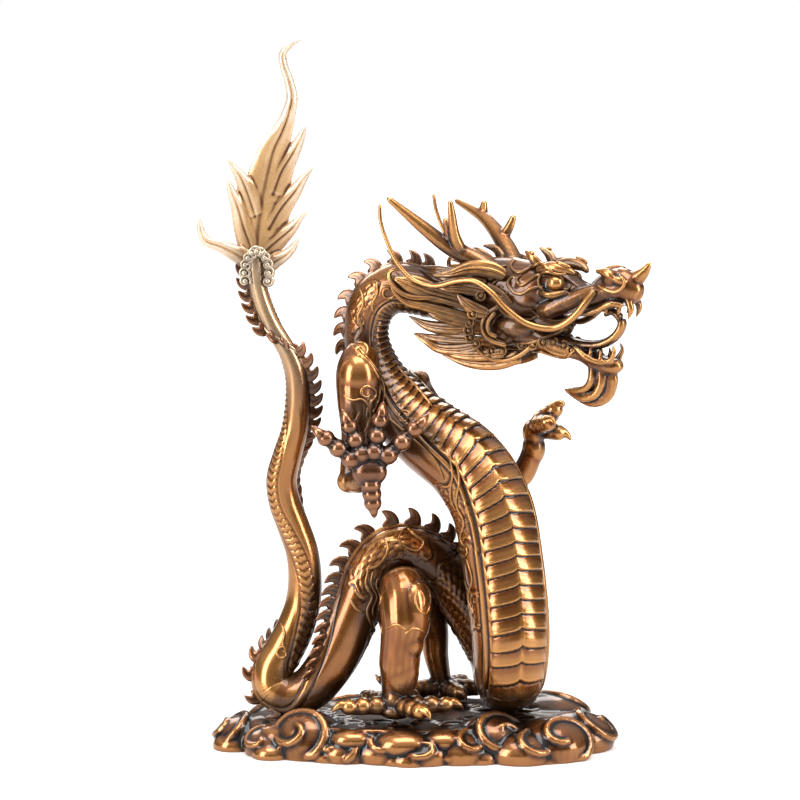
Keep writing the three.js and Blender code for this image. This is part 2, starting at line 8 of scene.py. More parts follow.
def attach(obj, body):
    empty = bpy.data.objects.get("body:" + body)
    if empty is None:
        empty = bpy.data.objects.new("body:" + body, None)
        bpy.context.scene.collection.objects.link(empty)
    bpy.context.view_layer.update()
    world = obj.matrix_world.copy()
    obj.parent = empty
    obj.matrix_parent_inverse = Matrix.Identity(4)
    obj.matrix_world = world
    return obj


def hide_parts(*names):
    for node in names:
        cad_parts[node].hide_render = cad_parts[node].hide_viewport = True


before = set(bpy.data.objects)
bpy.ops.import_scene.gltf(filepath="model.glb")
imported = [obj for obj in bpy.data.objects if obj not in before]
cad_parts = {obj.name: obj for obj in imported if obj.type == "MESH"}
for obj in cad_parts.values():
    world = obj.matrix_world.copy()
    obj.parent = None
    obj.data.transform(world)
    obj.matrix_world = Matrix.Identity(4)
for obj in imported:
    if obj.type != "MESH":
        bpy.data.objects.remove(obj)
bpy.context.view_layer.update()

# Neck, trunk and tail. One long hollow bronze casting, round in section, that rears out of the
# clouds, arches behind itself and ends in the upright tail. The belly's overlapping plates, the
# patches of fish scale and the ribbons that bound them are carved in the wax before casting.
FIGURE_HEIGHT = 0.572
SEAT_HEIGHT = 0.028
SQUARE = FIGURE_HEIGHT / 681
DRAWN_FROM = math.radians(9)
UP = np.array([0.0, 0.0, 1.0])
AWAY = np.array([0.0, 1.0, 0.0])
RIGHT = np.array([1.0, 0.0, 0.0])


def at(across, up, away):
    """A place on the drawing's squared grid, whose lines of sight look down by DRAWN_FROM."""
    rise = (up - away * math.sin(DRAWN_FROM)) / math.cos(DRAWN_FROM)
    return np.array([across * SQUARE, away * SQUARE, rise * SQUARE + SEAT_HEIGHT])


def facing(belly):
    if isinstance(belly, tuple):
        return np.array(belly, float)
    turn = math.radians(belly)
    return np.array([math.sin(turn), -math.cos(turn), 0.0])


def unit(rows):
    return rows / np.maximum(np.linalg.norm(rows, axis=-1, keepdims=True), 1e-12)


def smooth_path(points, values, count):
    """A centripetal curve through the points, evenly spaced, with the values carried along."""
    points = np.asarray(points, float)
    values = np.asarray(values, float)
    both = np.hstack([points, values.reshape(len(points), -1)])
    both = np.vstack([2 * both[0] - both[1], both, 2 * both[-1] - both[-2]])
    gaps = np.sqrt(np.maximum(np.linalg.norm(np.diff(both[:, :3], axis=0), axis=1), 1e-9))
    places = np.linspace(0, len(points) - 1, 40 * len(points))
    first = np.minimum(places.astype(int), len(points) - 2)
    t = (places - first)[:, None]
    p0, p1, p2, p3 = (both[first + k] for k in range(4))
    d0, d1, d2 = (gaps[first + k][:, None] for k in range(3))
    m1 = ((p1 - p0) / d0 - (p2 - p0) / (d0 + d1) + (p2 - p1) / d1) * d1
    m2 = ((p2 - p1) / d1 - (p3 - p1) / (d1 + d2) + (p3 - p2) / d2) * d1
    fine = p1 + m1 * t + (3 * (p2 - p1) - 2 * m1 - m2) * t**2 + (2 * (p1 - p2) + m1 + m2) * t**3
    run = np.concatenate([[0], np.cumsum(np.linalg.norm(np.diff(fine[:, :3], axis=0), axis=1))])
    wanted = np.linspace(0, run[-1], count)
    even = np.stack([np.interp(wanted, run, column) for column in fine.T], 1)
    return even[:, :3], even[:, 3:], wanted, np.interp(wanted, run, places)


def coordinates(piece):
    rows = np.empty(len(piece.data.vertices) * 3)
    piece.data.vertices.foreach_get("co", rows)
    return rows.reshape(-1, 3)


def set_coordinates(piece, rows):
    piece.data.vertices.foreach_set("co", np.ascontiguousarray(rows, float).ravel())
    piece.data.update()


def normals_of(piece):
    rows = np.empty(len(piece.data.vertices) * 3)
    piece.data.vertices.foreach_get("normal", rows)
    return rows.reshape(-1, 3)


def alone(piece):
    bpy.ops.object.select_all(action="DESELECT")
    piece.select_set(True)
    bpy.context.view_layer.objects.active = piece


def closed(piece):
    """Merges a wrapped sheet along its seam and at its ends, with its faces outwards."""
    alone(piece)
    bpy.ops.object.mode_set(mode="EDIT")
    bpy.ops.mesh.select_all(action="SELECT")
    bpy.ops.mesh.remove_doubles(threshold=1e-6)
    bpy.ops.mesh.normals_make_consistent(inside=False)
    bpy.ops.object.mode_set(mode="OBJECT")
    bpy.ops.object.shade_smooth()
    return piece


def sheet(name, rings, around):
    """A flat grid, to be wrapped. Gives the piece, each corner's ring and its share of a turn."""
    bpy.ops.object.select_all(action="DESELECT")
    bpy.ops.mesh.primitive_grid_add(x_subdivisions=rings, y_subdivisions=around, size=2)
    piece = bpy.context.object
    piece.name = name
    rows = coordinates(piece)
    ring = np.rint((rows[:, 0] + 1) / 2 * rings).astype(int)
    turn = np.rint((rows[:, 1] + 1) / 2 * around) / around
    return piece, ring, turn


# Places along the middle line, head to tail: [across, up, away], radius and the belly's way.
BODY = [
    ((44, 418, 0), 20, (0.1, -0.1, -1.0)),
    ((24, 421, 3), 22.5, (0.1, -0.2, -1.0)),
    ((4, 427, 8), 24, (0.2, -0.25, -1.0)),
    ((-18, 429, 14), 24.5, (0.45, -0.3, -0.85)),
    ((-38, 415, 19), 23.5, (0.78, -0.36, -0.5)),
    ((-46, 384, 21), 22, (0.92, -0.4, 0.0)),
    ((-38, 349, 18), 25.5, (0.85, -0.5, 0.3)),
    ((-17, 314, 10), 32, (0.66, -0.6, 0.5)),
    ((16, 282, -2), 37, (0.5, -0.62, 0.6)),
    ((54, 252, -14), 40, (0.5, -0.75, 0.42)),
    ((79, 211, -24), 40.5, (0.4, -0.9, 0.1)),
    ((90, 157, -30), 40.5, (0.35, -0.93, 0.0)),
    ((96, 112, -32), 40, (0.3, -0.95, 0.0)),
    ((99, 79, -31), 39, (0.26, -0.95, -0.1)),
    ((99, 51, -22), 37, (0.2, -0.8, -0.55)),
    ((97, 37.5, 0), 34.5, (0.1, -0.2, -0.98)),
    ((94, 39, 22), 32, (0.05, 0.3, -0.95)),
    ((88, 57, 42), 30, (-0.15, 0.85, -0.5)),
    ((72, 86, 48), 28, (-0.5, 0.8, -0.2)),
    ((50, 121, 44), 27, (-0.75, 0.45, -0.5)),
    ((26, 149, 33), 26.5, (-0.6, 0.15, -0.8)),
    ((0, 164, 22), 26.5, (-0.2, 0.0, -1.0)),
    ((-22, 163, 14), 26.5, (0.3, 0.05, -0.95)),
    ((-41, 144, 6), 26, (0.8, 0.15, -0.5)),
    ((-55, 110, 0), 25, (0.85, 0.35, -0.4)),
    ((-71, 72, -4), 24.5, (0.65, 0.65, -0.38)),
    ((-86, 45, -6), 23.5, (0.5, 0.8, -0.3)),
    ((-104, 25, -6), 22.5, (0.5, 0.85, 0.1)),
    ((-123, 19, -4), 21.5, (0.6, 0.6, 0.5)),
    ((-139, 27, -1), 20.5, (0.9, 0.3, 0.35)),
    ((-140, 44, 2), 20, (1.0, 0.0, 0.1)),
    ((-130, 63, 5), 19.5, 60),
    ((-118, 87, 8), 19, 38),
    ((-110, 112, 9), 18, 25),
    ((-108, 139, 9), 17, 6),
    ((-111, 165, 9), 16.5, -14),
    ((-119, 189, 8), 16.3, -28),
    ((-128, 214, 7), 16, -42),
    ((-131, 237, 6), 15.5, -42),
    ((-125, 262, 4), 14.5, -48),
    ((-117, 289, 2), 13.2, -68),
    ((-114, 317, 0), 12.2, -88),
    ((-116, 343, -1), 10.8, -98),
    ((-123, 363, -1), 9.5, -115),
    ((-131, 377, 0), 9, -180),
    ((-140, 392, 1), 9, -245),
    ((-149, 413, 2), 9, -266),
    ((-155, 436, 2), 8.7, -270),
    ((-156, 455, 1), 8.2, -270),
    ((-156, 467, 0), 5, -270),
]
BODY_STEPS = 4000
line_points = [at(*place) for place, _, _ in BODY]
line_values = [[radius * SQUARE, *facing(belly)] for _, radius, belly in BODY]
LINE, line_extra, LINE_RUN, LINE_STATION = smooth_path(line_points, line_values, BODY_STEPS)
LINE_RADIUS = line_extra[:, 0]
LINE_ALONG = unit(np.gradient(LINE, axis=0))
belly_raw = line_extra[:, 1:]
LINE_BELLY = unit(belly_raw - LINE_ALONG * (belly_raw * LINE_ALONG).sum(1, keepdims=True))
LINE_SIDE = np.cross(LINE_BELLY, LINE_ALONG)

# How far apart the belly's plates lie, by station of the line.
PLATE_PITCHES = [
    (0, 0.0066), (6, 0.0070), (9, 0.0104), (12, 0.0118),
    (17, 0.011), (29, 0.009), (36, 0.0056), (49, 0.0046),
]
stations, pitches = zip(*PLATE_PITCHES)
PLATE_COUNTED = np.cumsum(np.gradient(LINE_RUN) / np.interp(LINE_STATION, stations, pitches))


def body_at(run):
    """Middle, direction, belly, side and radius at lengths from the head."""
    parts = []
    for rows in (LINE, LINE_ALONG, LINE_BELLY, LINE_SIDE, LINE_RADIUS[:, None]):
        parts.append(np.stack([np.interp(run, LINE_RUN, column) for column in rows.T], -1))
    return parts


def rise(low, high, value):
    share = np.clip((value - low) / (high - low), 0, 1)
    return share * share * (3 - 2 * share)


def ridge(value, middle, half):
    return np.exp(-(((value - middle) / half) ** 2))


def fish_scale(along, around):
    """Overlapping round scales: 0 in the cracks to 1 at a scale's free edge."""
    height = np.zeros_like(along)
    reach = 1.42
    for behind in (0, 1):
        row = np.floor(along) - behind
        forward = (along - row) / reach
        across = (np.mod(around + 0.5 * np.mod(row, 2), 1) - 0.5) * 2
        inside = 1 - forward**2 - across**2
        layer = 0.25 + 0.75 * forward
        edge = rise(0, 0.16, inside)
        height = np.where(inside > 0, layer * edge, height)
    return height


BAND_EDGES = [(0, 0.82), (22, 0.82), (30, 0.5), (34, 0.42), (49, 0.42)]
# Patches of scale: from and to along the middle line, their middle and half width round the body.
SCALE_PATCHES = [
    (3.4, 4.8, -1.7, 0.34),
    (9.0, 10.6, -1.42, 0.3),
    (11.4, 12.6, -1.5, 0.24),
    (9.6, 12.2, 1.5, 0.3),
    (17.2, 20.2, -1.75, 0.8),
    (18.6, 20.6, 2.0, 0.5),
    (21.3, 23.7, 1.95, 0.5),
    (20.8, 23.6, -2.05, 0.5),
]
SCALE_PITCH = 0.0062


def body_relief(run, turn, radius):
    """How far the skin stands proud at a length and an angle from the belly's middle."""
    side = np.abs(turn)
    station = np.interp(run, LINE_RUN, LINE_STATION)
    size = np.clip(radius / 0.034, 0.35, 1)
    band = np.interp(station, *zip(*BAND_EDGES))
    across = np.clip(side / band, 0, 1)
    notch = 0.30 * (1 - across**1.6) + 0.2 * np.exp(-side / 0.085)
    counted = np.interp(run, LINE_RUN, PLATE_COUNTED) + notch
    share = counted - np.floor(counted)
    plate = rise(0.0, 0.75, share) * (1 - rise(0.9, 1.0, share))
    lip = ridge(share, 0.85, 0.07) * 0.35
    crack = ridge(share, 0.985, 0.045) + ridge(share, -0.015, 0.045)
    on_band = 1 - rise(band - 0.07, band - 0.02, side)
    proud = on_band * (0.00165 * plate + 0.0016 * lip - 0.0012 * crack) * size
    proud += size * 0.0013 * ridge(side, band + 0.01, 0.035)
    proud -= size * 0.0022 * ridge(side, band + 0.095, 0.042)
    proud += size * 0.0011 * ridge(side, band + 0.19, 0.045)
    proud -= size * 0.0006 * ridge(side, band + 0.27, 0.035)
    back = math.pi - side
    proud += size * 0.0024 * ridge(back, 0, 0.17) - size * 0.0011 * ridge(back, 0.27, 0.05)
    for first, last, middle, half in SCALE_PATCHES:
        wave = 0.13 * np.sin(station * 7.3 + middle) + 0.06 * np.sin(station * 17.0)
        from_side = 1 - np.abs(turn - middle - wave) / half
        from_end = np.minimum(station - first, last - station) / 0.55 + 0.25 * np.sin(turn * 6)
        inside = np.minimum(from_side, from_end)
        scales = fish_scale(run / SCALE_PITCH, turn * radius / (SCALE_PITCH * 1.05))
        shown = rise(0.12, 0.2, inside)
        proud += shown * (0.0010 * scales - 0.0004)
        proud += 0.0007 * ridge(inside, 0.06, 0.055) - 0.0005 * ridge(inside, -0.09, 0.06)
    return proud


def coil(name, first, last, rings, around):
    start, end = (np.interp(station, LINE_STATION, LINE_RUN) for station in (first, last))
    piece, ring, turn = sheet(name, rings, around)
    run = start + (end - start) * ring / rings
    turn = (turn * 2 - 1) * math.pi
    middle, along, belly, side, radius = body_at(run)
    radius = radius[:, 0]
    reach = radius + body_relief(run, turn, radius)
    reach[(ring == 0) | (ring == rings)] = 0
    out = belly * np.cos(turn)[:, None] + side * np.sin(turn)[:, None]
    set_coordinates(piece, middle + out * reach[:, None])
    return closed(piece)


LAST_STATION = len(BODY) - 1
trunk = coil("neck_and_trunk", 0, 14.6, 540, 130)
arch = coil("arch_of_the_back", 14.2, 29.2, 300, 112)
tail = coil("tail", 28.8, LAST_STATION, 500, 66)
dragon_pieces = [trunk, arch, tail]


# Fins of the back. A row of small cast leaves that lean towards the tail, each creased down its
# middle, brazed along the ridge from the nape to the tail's end. Their patina is left dark.
FIN_HEIGHT = 0.0145
FIN_THICKNESS = 0.0046
FIN_PITCH = 0.0112
# How tall the fins are, by station of the line, as shares of FIN_HEIGHT.
FIN_SHARES = [
    (0, 0.75), (6, 0.8), (9, 0.8), (13, 0.55), (14, 0.35), (17, 0.35), (19, 0.85),
    (21, 1.0), (25, 0.85), (29, 0.62), (35, 0.6), (41, 0.72), (47, 0.62),
]


def joined(name, pieces):
    bpy.ops.object.select_all(action="DESELECT")
    for piece in pieces:
        piece.select_set(True)
    bpy.context.view_layer.objects.active = pieces[0]
    if len(pieces) > 1:
        bpy.ops.object.join()
    pieces[0].name = name
    pieces[0].data.name = name
    return pieces[0]


def strand(points, wide, thick=None, face=AWAY, rings=14, around=10, blunt=0.6, groove=0.0):
    """A closed round or flat form along a curve. Half sizes are in squares of the drawing."""
    wide = np.asarray(wide, float)
    thick = wide if thick is None else np.asarray(thick, float)
    points = np.asarray(points, float)
    middle, sizes, run, _ = smooth_path(points, np.stack([wide, thick], 1) * SQUARE, rings + 1)
    along = unit(np.gradient(middle, axis=0))
    out = unit(face - along * (along @ face)[:, None])
    side = np.cross(out, along)
    sizes = np.maximum(sizes, 0)
    ends = np.minimum(run, run[-1] - run) / np.maximum(sizes.max(1) * blunt, 1e-6)
    round_off = np.sqrt(np.clip(1 - (1 - np.clip(ends, 0, 1)) ** 2, 0, 1))
    piece, ring, turn = sheet("strand", rings, around)
    turn = turn * 2 * math.pi
    a = np.sin(turn) * sizes[ring, 0] * round_off[ring]
    b = np.cos(turn) * sizes[ring, 1] * round_off[ring]
    if groove:
        b = b * (1 - groove * np.exp(-((np.sin(turn) / 0.34) ** 2)))
    set_coordinates(piece, middle[ring] + side[ring] * a[:, None] + out[ring] * b[:, None])
    return closed(piece)


def back_fin(run, height, pitch):
    middle, along, belly, side, radius = (rows[0] for rows in body_at(np.array([run])))

    def out(rise_by, lean):
        return middle - belly * (radius + rise_by) + along * lean

    points = [
        out(-0.003, 0.1 * pitch), out(height * 0.26, -0.1 * pitch),
        out(height * 0.58, -0.04 * pitch), out(height * 0.84, 0.26 * pitch),
        out(height * 1.0, 0.62 * pitch),
    ]
    wide = np.array([0.8, 0.62, 0.42, 0.24, 0.06]) * pitch / SQUARE
    thick = np.array([1, 0.95, 0.8, 0.6, 0.3]) * FIN_THICKNESS / 2 / SQUARE
    return strand(points, wide, thick, face=side, rings=12, around=12, blunt=0.3, groove=0.5)


# The ridge is bare where the coil folds on itself or lies in the clouds.
FIN_RUNS = [(1.8, 13.2), (18.2, 26.6), (28.4, 47.6)]
fin_shares = list(zip(*FIN_SHARES))
fins = []
for first, last in FIN_RUNS:
    fin_run, end = np.interp([first, last], LINE_STATION, LINE_RUN)
    while fin_run < end:
        share = np.interp(np.interp(fin_run, LINE_RUN, LINE_STATION), *fin_shares)
        pitch = FIN_PITCH * (0.6 + 0.4 * share)
        fins.append(back_fin(fin_run, FIN_HEIGHT * share, pitch))
        fin_run += pitch
back_fins = joined("back_fins", fins)
dragon_pieces.append(back_fins)


# Legs and feet. Each is cast with the trunk: heavy thighs, and a foot of four or five toes spread
# like a star, each of three swollen knuckles that end in a hooked claw.
def ball(middle, half_sizes, segments=36):
    bpy.ops.object.select_all(action="DESELECT")
    bpy.ops.mesh.primitive_uv_sphere_add(segments=segments, ring_count=segments * 2 // 3, radius=1)
    piece = bpy.context.object
    set_coordinates(piece, coordinates(piece) * np.asarray(half_sizes) * SQUARE + middle)
    bpy.ops.object.shade_smooth()
    return piece


def fused(name, lumps, grain, polish=2):
    """Lumps of wax run together into one skin, then smoothed."""
    piece = joined(name, lumps)
    alone(piece)
    remesh = piece.modifiers.new("wax", "REMESH")
    remesh.mode = "VOXEL"
    remesh.voxel_size = grain
    remesh.use_smooth_shade = True
    bpy.ops.object.modifier_apply(modifier=remesh.name)
    if polish:
        smooth = piece.modifiers.new("polish", "SMOOTH")
        smooth.factor = 0.5
        smooth.iterations = polish
        bpy.ops.object.modifier_apply(modifier=smooth.name)
    bpy.ops.object.shade_smooth()
    return piece


def limb(stations):
    places = [at(*place) for place, _ in stations]
    return strand(places, [radius for _, radius in stations], rings=44, around=20)


TOE_THICKNESS = 0.0145 / SQUARE
CLAW_LENGTH = 0.0105 / SQUARE


def toe(root, way, raised, length):
    """Three swollen knuckles on a core, and a hooked claw."""
    way = unit(way)

    def spot(along, lift):
        return root + way * along * SQUARE + raised * lift * TOE_THICKNESS * SQUARE

    knuckles = [(0.36, 0.6), (0.63, 0.57), (0.89, 0.52)]
    core = [spot(-4, 0.1), spot(length * 0.3, 0.24), spot(length * 0.92, 0.26)]
    lumps = [strand(core, [8.6, 8, 6.8], rings=10, around=10)]
    for along, half in knuckles:
        lumps.append(ball(spot(along * length, 0.36), np.array([1, 1, 0.94]) * half * TOE_THICKNESS))
    hook = [
        spot(0.9 * length, 0.34), spot(1.02 * length, 0.5),
        spot(length + CLAW_LENGTH * 0.6, 0.36), spot(length + CLAW_LENGTH, 0.02),
    ]
    lumps.append(strand(hook, [5.4, 5.4, 3.6, 0.6], rings=12, around=10, blunt=0.2))
    return lumps


def paw(palm, first, second, raised, toes):
    lumps = []
    for degrees, length in toes:
        turn = math.radians(degrees)
        lumps += toe(palm, first * math.cos(turn) + second * math.sin(turn), raised, length)
    return lumps


NEAR_HIND_LEG = [
    ((-14, 146, -8), 19),
    ((-8, 120, -27), 26),
    ((-7, 95, -36), 25.5),
    ((-11, 73, -39), 21),
    ((-13, 50, -39), 20.5),
    ((-17, 28, -38), 14),
    ((-18, 8, -37), 12.5),
]
near_sole = at(-16, 6, -40)
near_hind_leg = fused("near_hind_leg", [
    limb(NEAR_HIND_LEG),
    ball(near_sole, [17, 15, 9]),
    ball(at(2, 104, -38), [17, 21, 34]),
    ball(at(-11, 48, -42), [18.5, 17, 30]),
    ball(at(-6, 74, -42), [18, 17, 20]),
    ball(at(-16, 18, -42), [13, 12, 12]),
    strand([at(-22, 34, -34), at(-32, 36, -34), at(-38, 44, -34)], [6, 3.5, 0.5], rings=8),
    *paw(near_sole, RIGHT, -AWAY, UP, [(2, 56), (52, 44), (166, 54), (-132, 44), (-62, 38)]),
], 0.0012, 3)

FAR_HIND_LEG = [
    ((3, 142, 36), 18),
    ((14, 112, 54), 20),
    ((23, 80, 62), 15),
    ((25, 56, 64), 13),
    ((30, 32, 64), 10.5),
    ((32, 17, 64), 10.5),
]
far_sole = at(34, 16, 66)
far_hind_leg = fused("far_hind_leg", [
    limb(FAR_HIND_LEG),
    ball(far_sole, [15, 13, 9]),
    ball(at(30, 44, 74), [8, 8, 15]),
    *paw(far_sole, RIGHT, -AWAY, UP, [(5, 36), (-55, 32), (60, 32), (172, 30)]),
], 0.0013, 2)

NEAR_FORELEG = [
    ((-48, 372, 2), 16),
    ((-54, 346, -14), 21.5),
    ((-55, 318, -21), 20),
    ((-55, 286, -24), 16),
    ((-58, 258, -28), 13.5),
    ((-60, 238, -34), 11.5),
    ((-52, 236, -46), 11.5),
    ((-43, 243, -58), 12),
    ((-42, 246, -68), 11),
]
near_palm = at(-42, 246, -62)
near_foreleg = fused("near_foreleg", [
    limb(NEAR_FORELEG),
    ball(at(-54, 338, -20), [21, 20, 28]),
    ball(at(-62, 236, -34), [13, 12, 12]),
], 0.0012, 2)
near_paw = fused("near_paw", [
    ball(at(-42, 246, -67), [17.5, 11, 14.5]),
    ball(at(-43, 245, -60), [14, 12, 13]),
    *paw(near_palm, RIGHT, UP, -AWAY, [(141, 62), (113, 57), (79, 60), (45, 70), (-84, 34)]),
], 0.00095, 2)

FAR_FORELEG = [
    ((0, 345, 34), 16),
    ((6, 322, 46), 17.5),
    ((38, 286, 56), 15),
    ((78, 256, 60), 13),
    ((108, 238, 62), 12.5),
    ((119, 254, 62), 11.5),
    ((125, 276, 61), 10.5),
]
far_palm = at(124, 284, 60)
fist_way = unit(np.array([0.85, -0.3, 0.45]))
fist_back = np.array([-0.4, 0.0, 0.9])
far_foreleg = fused("far_foreleg", [
    limb(FAR_FORELEG),
    ball(far_palm, [12, 13, 14]),
    ball(at(124, 268, 61), [12, 12, 17]),
    ball(at(4, 330, 30), [12, 9, 16]),
    *paw(far_palm, fist_way, fist_back, UP, [(14, 32), (-38, 28)]),
    *paw(far_palm, fist_way, AWAY, UP, [(45, 28), (-45, 28)]),
], 0.00125, 2)
dragon_pieces += [near_hind_leg, far_hind_leg, near_foreleg, near_paw, far_foreleg]


# Ribbons and tassels. Raised cords of wax laid over the shoulders, hips and flanks, rolled into
# curls at their ends, and cast with the skin. They stand proud, so rubbing leaves them brighter.
def skin_of(pieces):
    """A tree that answers where a straight line first meets these pieces."""
    corners = []
    faces = []
    for piece in pieces:
        start = len(corners)
        corners += [tuple(row) for row in coordinates(piece)]
        faces += [[start + corner for corner in face.vertices] for face in piece.data.polygons]
    return BVHTree.FromPolygons(corners, faces)


def landed(skin, starts, way, lift=0.0):
    """Where lines from the starts land on the skin, lifted a little towards where they came from."""
    way = Vector(way).normalized()
    found = []
    for start in starts:
        spot, normal, _, _ = skin.ray_cast(Vector(start), way)
        if spot is not None:
            found.append(np.array(spot + normal * lift))
    return found


def eased_path(points, times=2):
    rows = np.array(points)
    for _ in range(times):
        rows[1:-1] = rows[:-2] * 0.25 + rows[1:-1] * 0.5 + rows[2:] * 0.25
    return rows


CORD_STEPS = 5


def drawn_cord(skin, places, half):
    """A cord that follows places drawn from the front, [across, up], laid on the skin."""
    flat = np.array([[across, up, 0] for across, up in places], float)
    fine = smooth_path(flat, np.zeros(len(flat)), CORD_STEPS * len(flat))[0]
    sight = at(0, 0, 1) - at(0, 0, 0)
    starts = [at(across, up, -260) for across, up, _ in fine]
    spots = landed(skin, starts, sight, half * 0.25 * SQUARE)
    if len(spots) < 4:
        return []
    share = np.linspace(0, 1, len(spots))
    sizes = half * np.interp(share, [0, 0.15, 0.8, 1], [0.5, 1, 1, 0.4])
    return [strand(eased_path(spots), sizes, rings=len(spots) * 2, around=8, face=-AWAY)]


def drawn_curl(middle, start_radius, end_radius, turns, first_turn, way=1):
    """Places along a flat curl, drawn from the front."""
    places = []
    for step in range(int(turns * 14) + 1):
        share = step / (turns * 14)
        turn = first_turn + way * turns * 2 * math.pi * share
        radius = start_radius * (1 - share) + end_radius * share
        places.append((middle[0] + radius * math.cos(turn), middle[1] + radius * math.sin(turn)))
    return places


body_skin = skin_of([trunk, arch, tail, near_hind_leg, near_foreleg, far_foreleg])
CORDS = [
    ([(-62, 372), (-52, 362), (-40, 350), (-33, 334), (-34, 316), (-40, 304)], 1.9),
    ([(-56, 372), (-46, 360), (-35, 346), (-28, 330), (-29, 312)], 1.5),
    ([(-46, 300)] + drawn_curl((-45, 324), 9, 2.5, 1.2, -1.2, 1), 1.9),
    ([(-52, 306), (-56, 292), (-52, 280), (-46, 272)], 1.8),
    ([(-68, 322), (-58, 316), (-50, 318), (-44, 310), (-43, 296), (-48, 284)], 1.7),
    (drawn_curl((-51, 366), 8, 2, 1.4, 2.0, -1), 1.7),
    ([(-16, 352), (-8, 342), (4, 330), (14, 318), (20, 310)], 1.8),
    ([(-10, 356), (-2, 346), (10, 334), (20, 322)], 1.4),
    ([(-44, 146), (-46, 132), (-40, 120), (-45, 106), (-41, 92),
      (-37, 84)] + drawn_curl((-36, 80), 6.5, 2, 1.2, 2.6, 1), 1.8),
    ([(-39, 146), (-41, 132), (-35, 120), (-40, 106), (-36, 93)], 1.5),
    ([(-34, 140), (-36, 130), (-30, 119), (-35, 105), (-31, 92), (-29, 82)], 1.5),
    ([(-46, 148), (-36, 150), (-28, 158), (-24, 170), (-30, 180)], 1.6),
    ([(-14, 178), (-6, 188), (4, 180), (12, 174), (6, 166), (-4, 168), (-10, 172)], 1.8),
    ([(5, 134), (13, 132), (18, 120), (14, 104), (7, 108), (3, 118), (5, 134)], 1.2),
    ([(8, 128), (12, 118), (10, 110)], 1.2),
    ([(-8, 84), (2, 90), (12, 86), (16, 80)], 1.6),
    ([(-28, 88), (-16, 94), (-6, 88)], 1.4),
    ([(-58, 128), (-52, 120), (-44, 117)], 1.5),
    ([(-62, 118), (-56, 108), (-47, 104)], 1.5),
    ([(42, 262), (47, 240), (44, 214), (52, 196), (48, 178), (56, 168)], 1.6),
    ([(36, 268), (40, 244), (38, 222), (44, 206)], 1.4),
    (drawn_curl((50, 166), 6, 2, 1.2, 1.4, -1), 1.5),
    ([(54, 160), (60, 140), (56, 120), (62, 104)], 1.4),
    ([(-24, 300), (-10, 288), (8, 272), (24, 256), (32, 238)], 1.5),
    (drawn_curl((-8, 300), 7, 2, 1.3, 0.4, 1), 1.4),
    ([(-52, 428), (-48, 414), (-54, 400), (-50, 388), (-56, 376)], 1.7),
    ([(-36, 436), (-34, 424), (-40, 412), (-37, 400)], 1.6),
    (drawn_curl((-24, 424), 9, 2.5, 1.3, 2.2, -1), 1.6),
    (drawn_curl((-130, 62), 7, 2, 1.1, 1.2, 1), 1.4),
    ([(-132, 92), (-128, 82), (-130, 72), (-126, 64)], 1.5),
]
cord_pieces = []
for places, half in CORDS:
    cord_pieces += drawn_cord(body_skin, places, half)
ribbons = joined("ribbons_and_tassels", cord_pieces)
dragon_pieces.append(ribbons)


# Head. Cast apart in the wax and joined at the nape: a long ribbed muzzle, open jaws with a
# curling tongue, bulging eyes under flame brows, and a chin tuft. Polished on the high places.
HEAD_AT = at(78, 422, -4)
HEAD_TURN = math.radians(30)
HEAD_FORWARD = np.array([math.cos(HEAD_TURN), -math.sin(HEAD_TURN), 0.0])
HEAD_NEAR = np.array([-math.sin(HEAD_TURN), -math.cos(HEAD_TURN), 0.0])


def on_head(forward, near, up):
    return HEAD_AT + (HEAD_FORWARD * forward + HEAD_NEAR * near + UP * up) * SQUARE


def head_strand(points, wide, thick=None, face=HEAD_NEAR, **more):
    return strand([on_head(*point) for point in points], wide, thick, face, **more)


def both_sides(points, wide, thick=None, face=HEAD_NEAR, **more):
    mirrored = [(forward, -near, up) for forward, near, up in points]
    return [head_strand(path, wide, thick, face, **more) for path in (points, mirrored)]


def both_balls(forward, near, up, halves):
    """Balls on the two sides, their half sizes given forwards, sideways and up."""
    turned = []
    for side in (1, -1):
        piece = ball(np.zeros(3), [1, 1, 1])
        rows = coordinates(piece) / SQUARE * np.asarray(halves) * SQUARE
        rows = rows[:, :1] * HEAD_FORWARD + rows[:, 1:2] * HEAD_NEAR + rows[:, 2:] * UP
        set_coordinates(piece, rows + on_head(forward, near * side, up))
        turned.append(piece)
    return turned


UPPER_HEAD = [
    ((-50, 2), 15, 16),
    ((-22, 5), 25, 27),
    ((4, 6), 28, 32),
    ((30, 4), 29, 35),
    ((56, 8), 27, 29),
    ((80, 9), 22, 24),
    ((98, 6), 18, 16),
    ((116, 5), 15, 13),
    ((132, 14), 16, 17),
    ((148, 18), 16, 18),
    ((161, 12), 12, 13),
    ((169, 8), 6, 7),
]
LOWER_JAW = [
    ((16, -24), 28, 20),
    ((50, -38), 21, 15),
    ((86, -47), 17, 9.5),
    ((106, -52), 14, 8),
    ((122, -60), 12, 8.5),
    ((138, -62), 10, 8),
    ((148, -58), 5, 5),
]


def jaw(stations):
    points = [on_head(forward, 0, up) for (forward, up), _, _ in stations]
    wide = [half for _, half, _ in stations]
    thick = [half for _, _, half in stations]
    return strand(points, wide, thick, face=UP, rings=60, around=32)


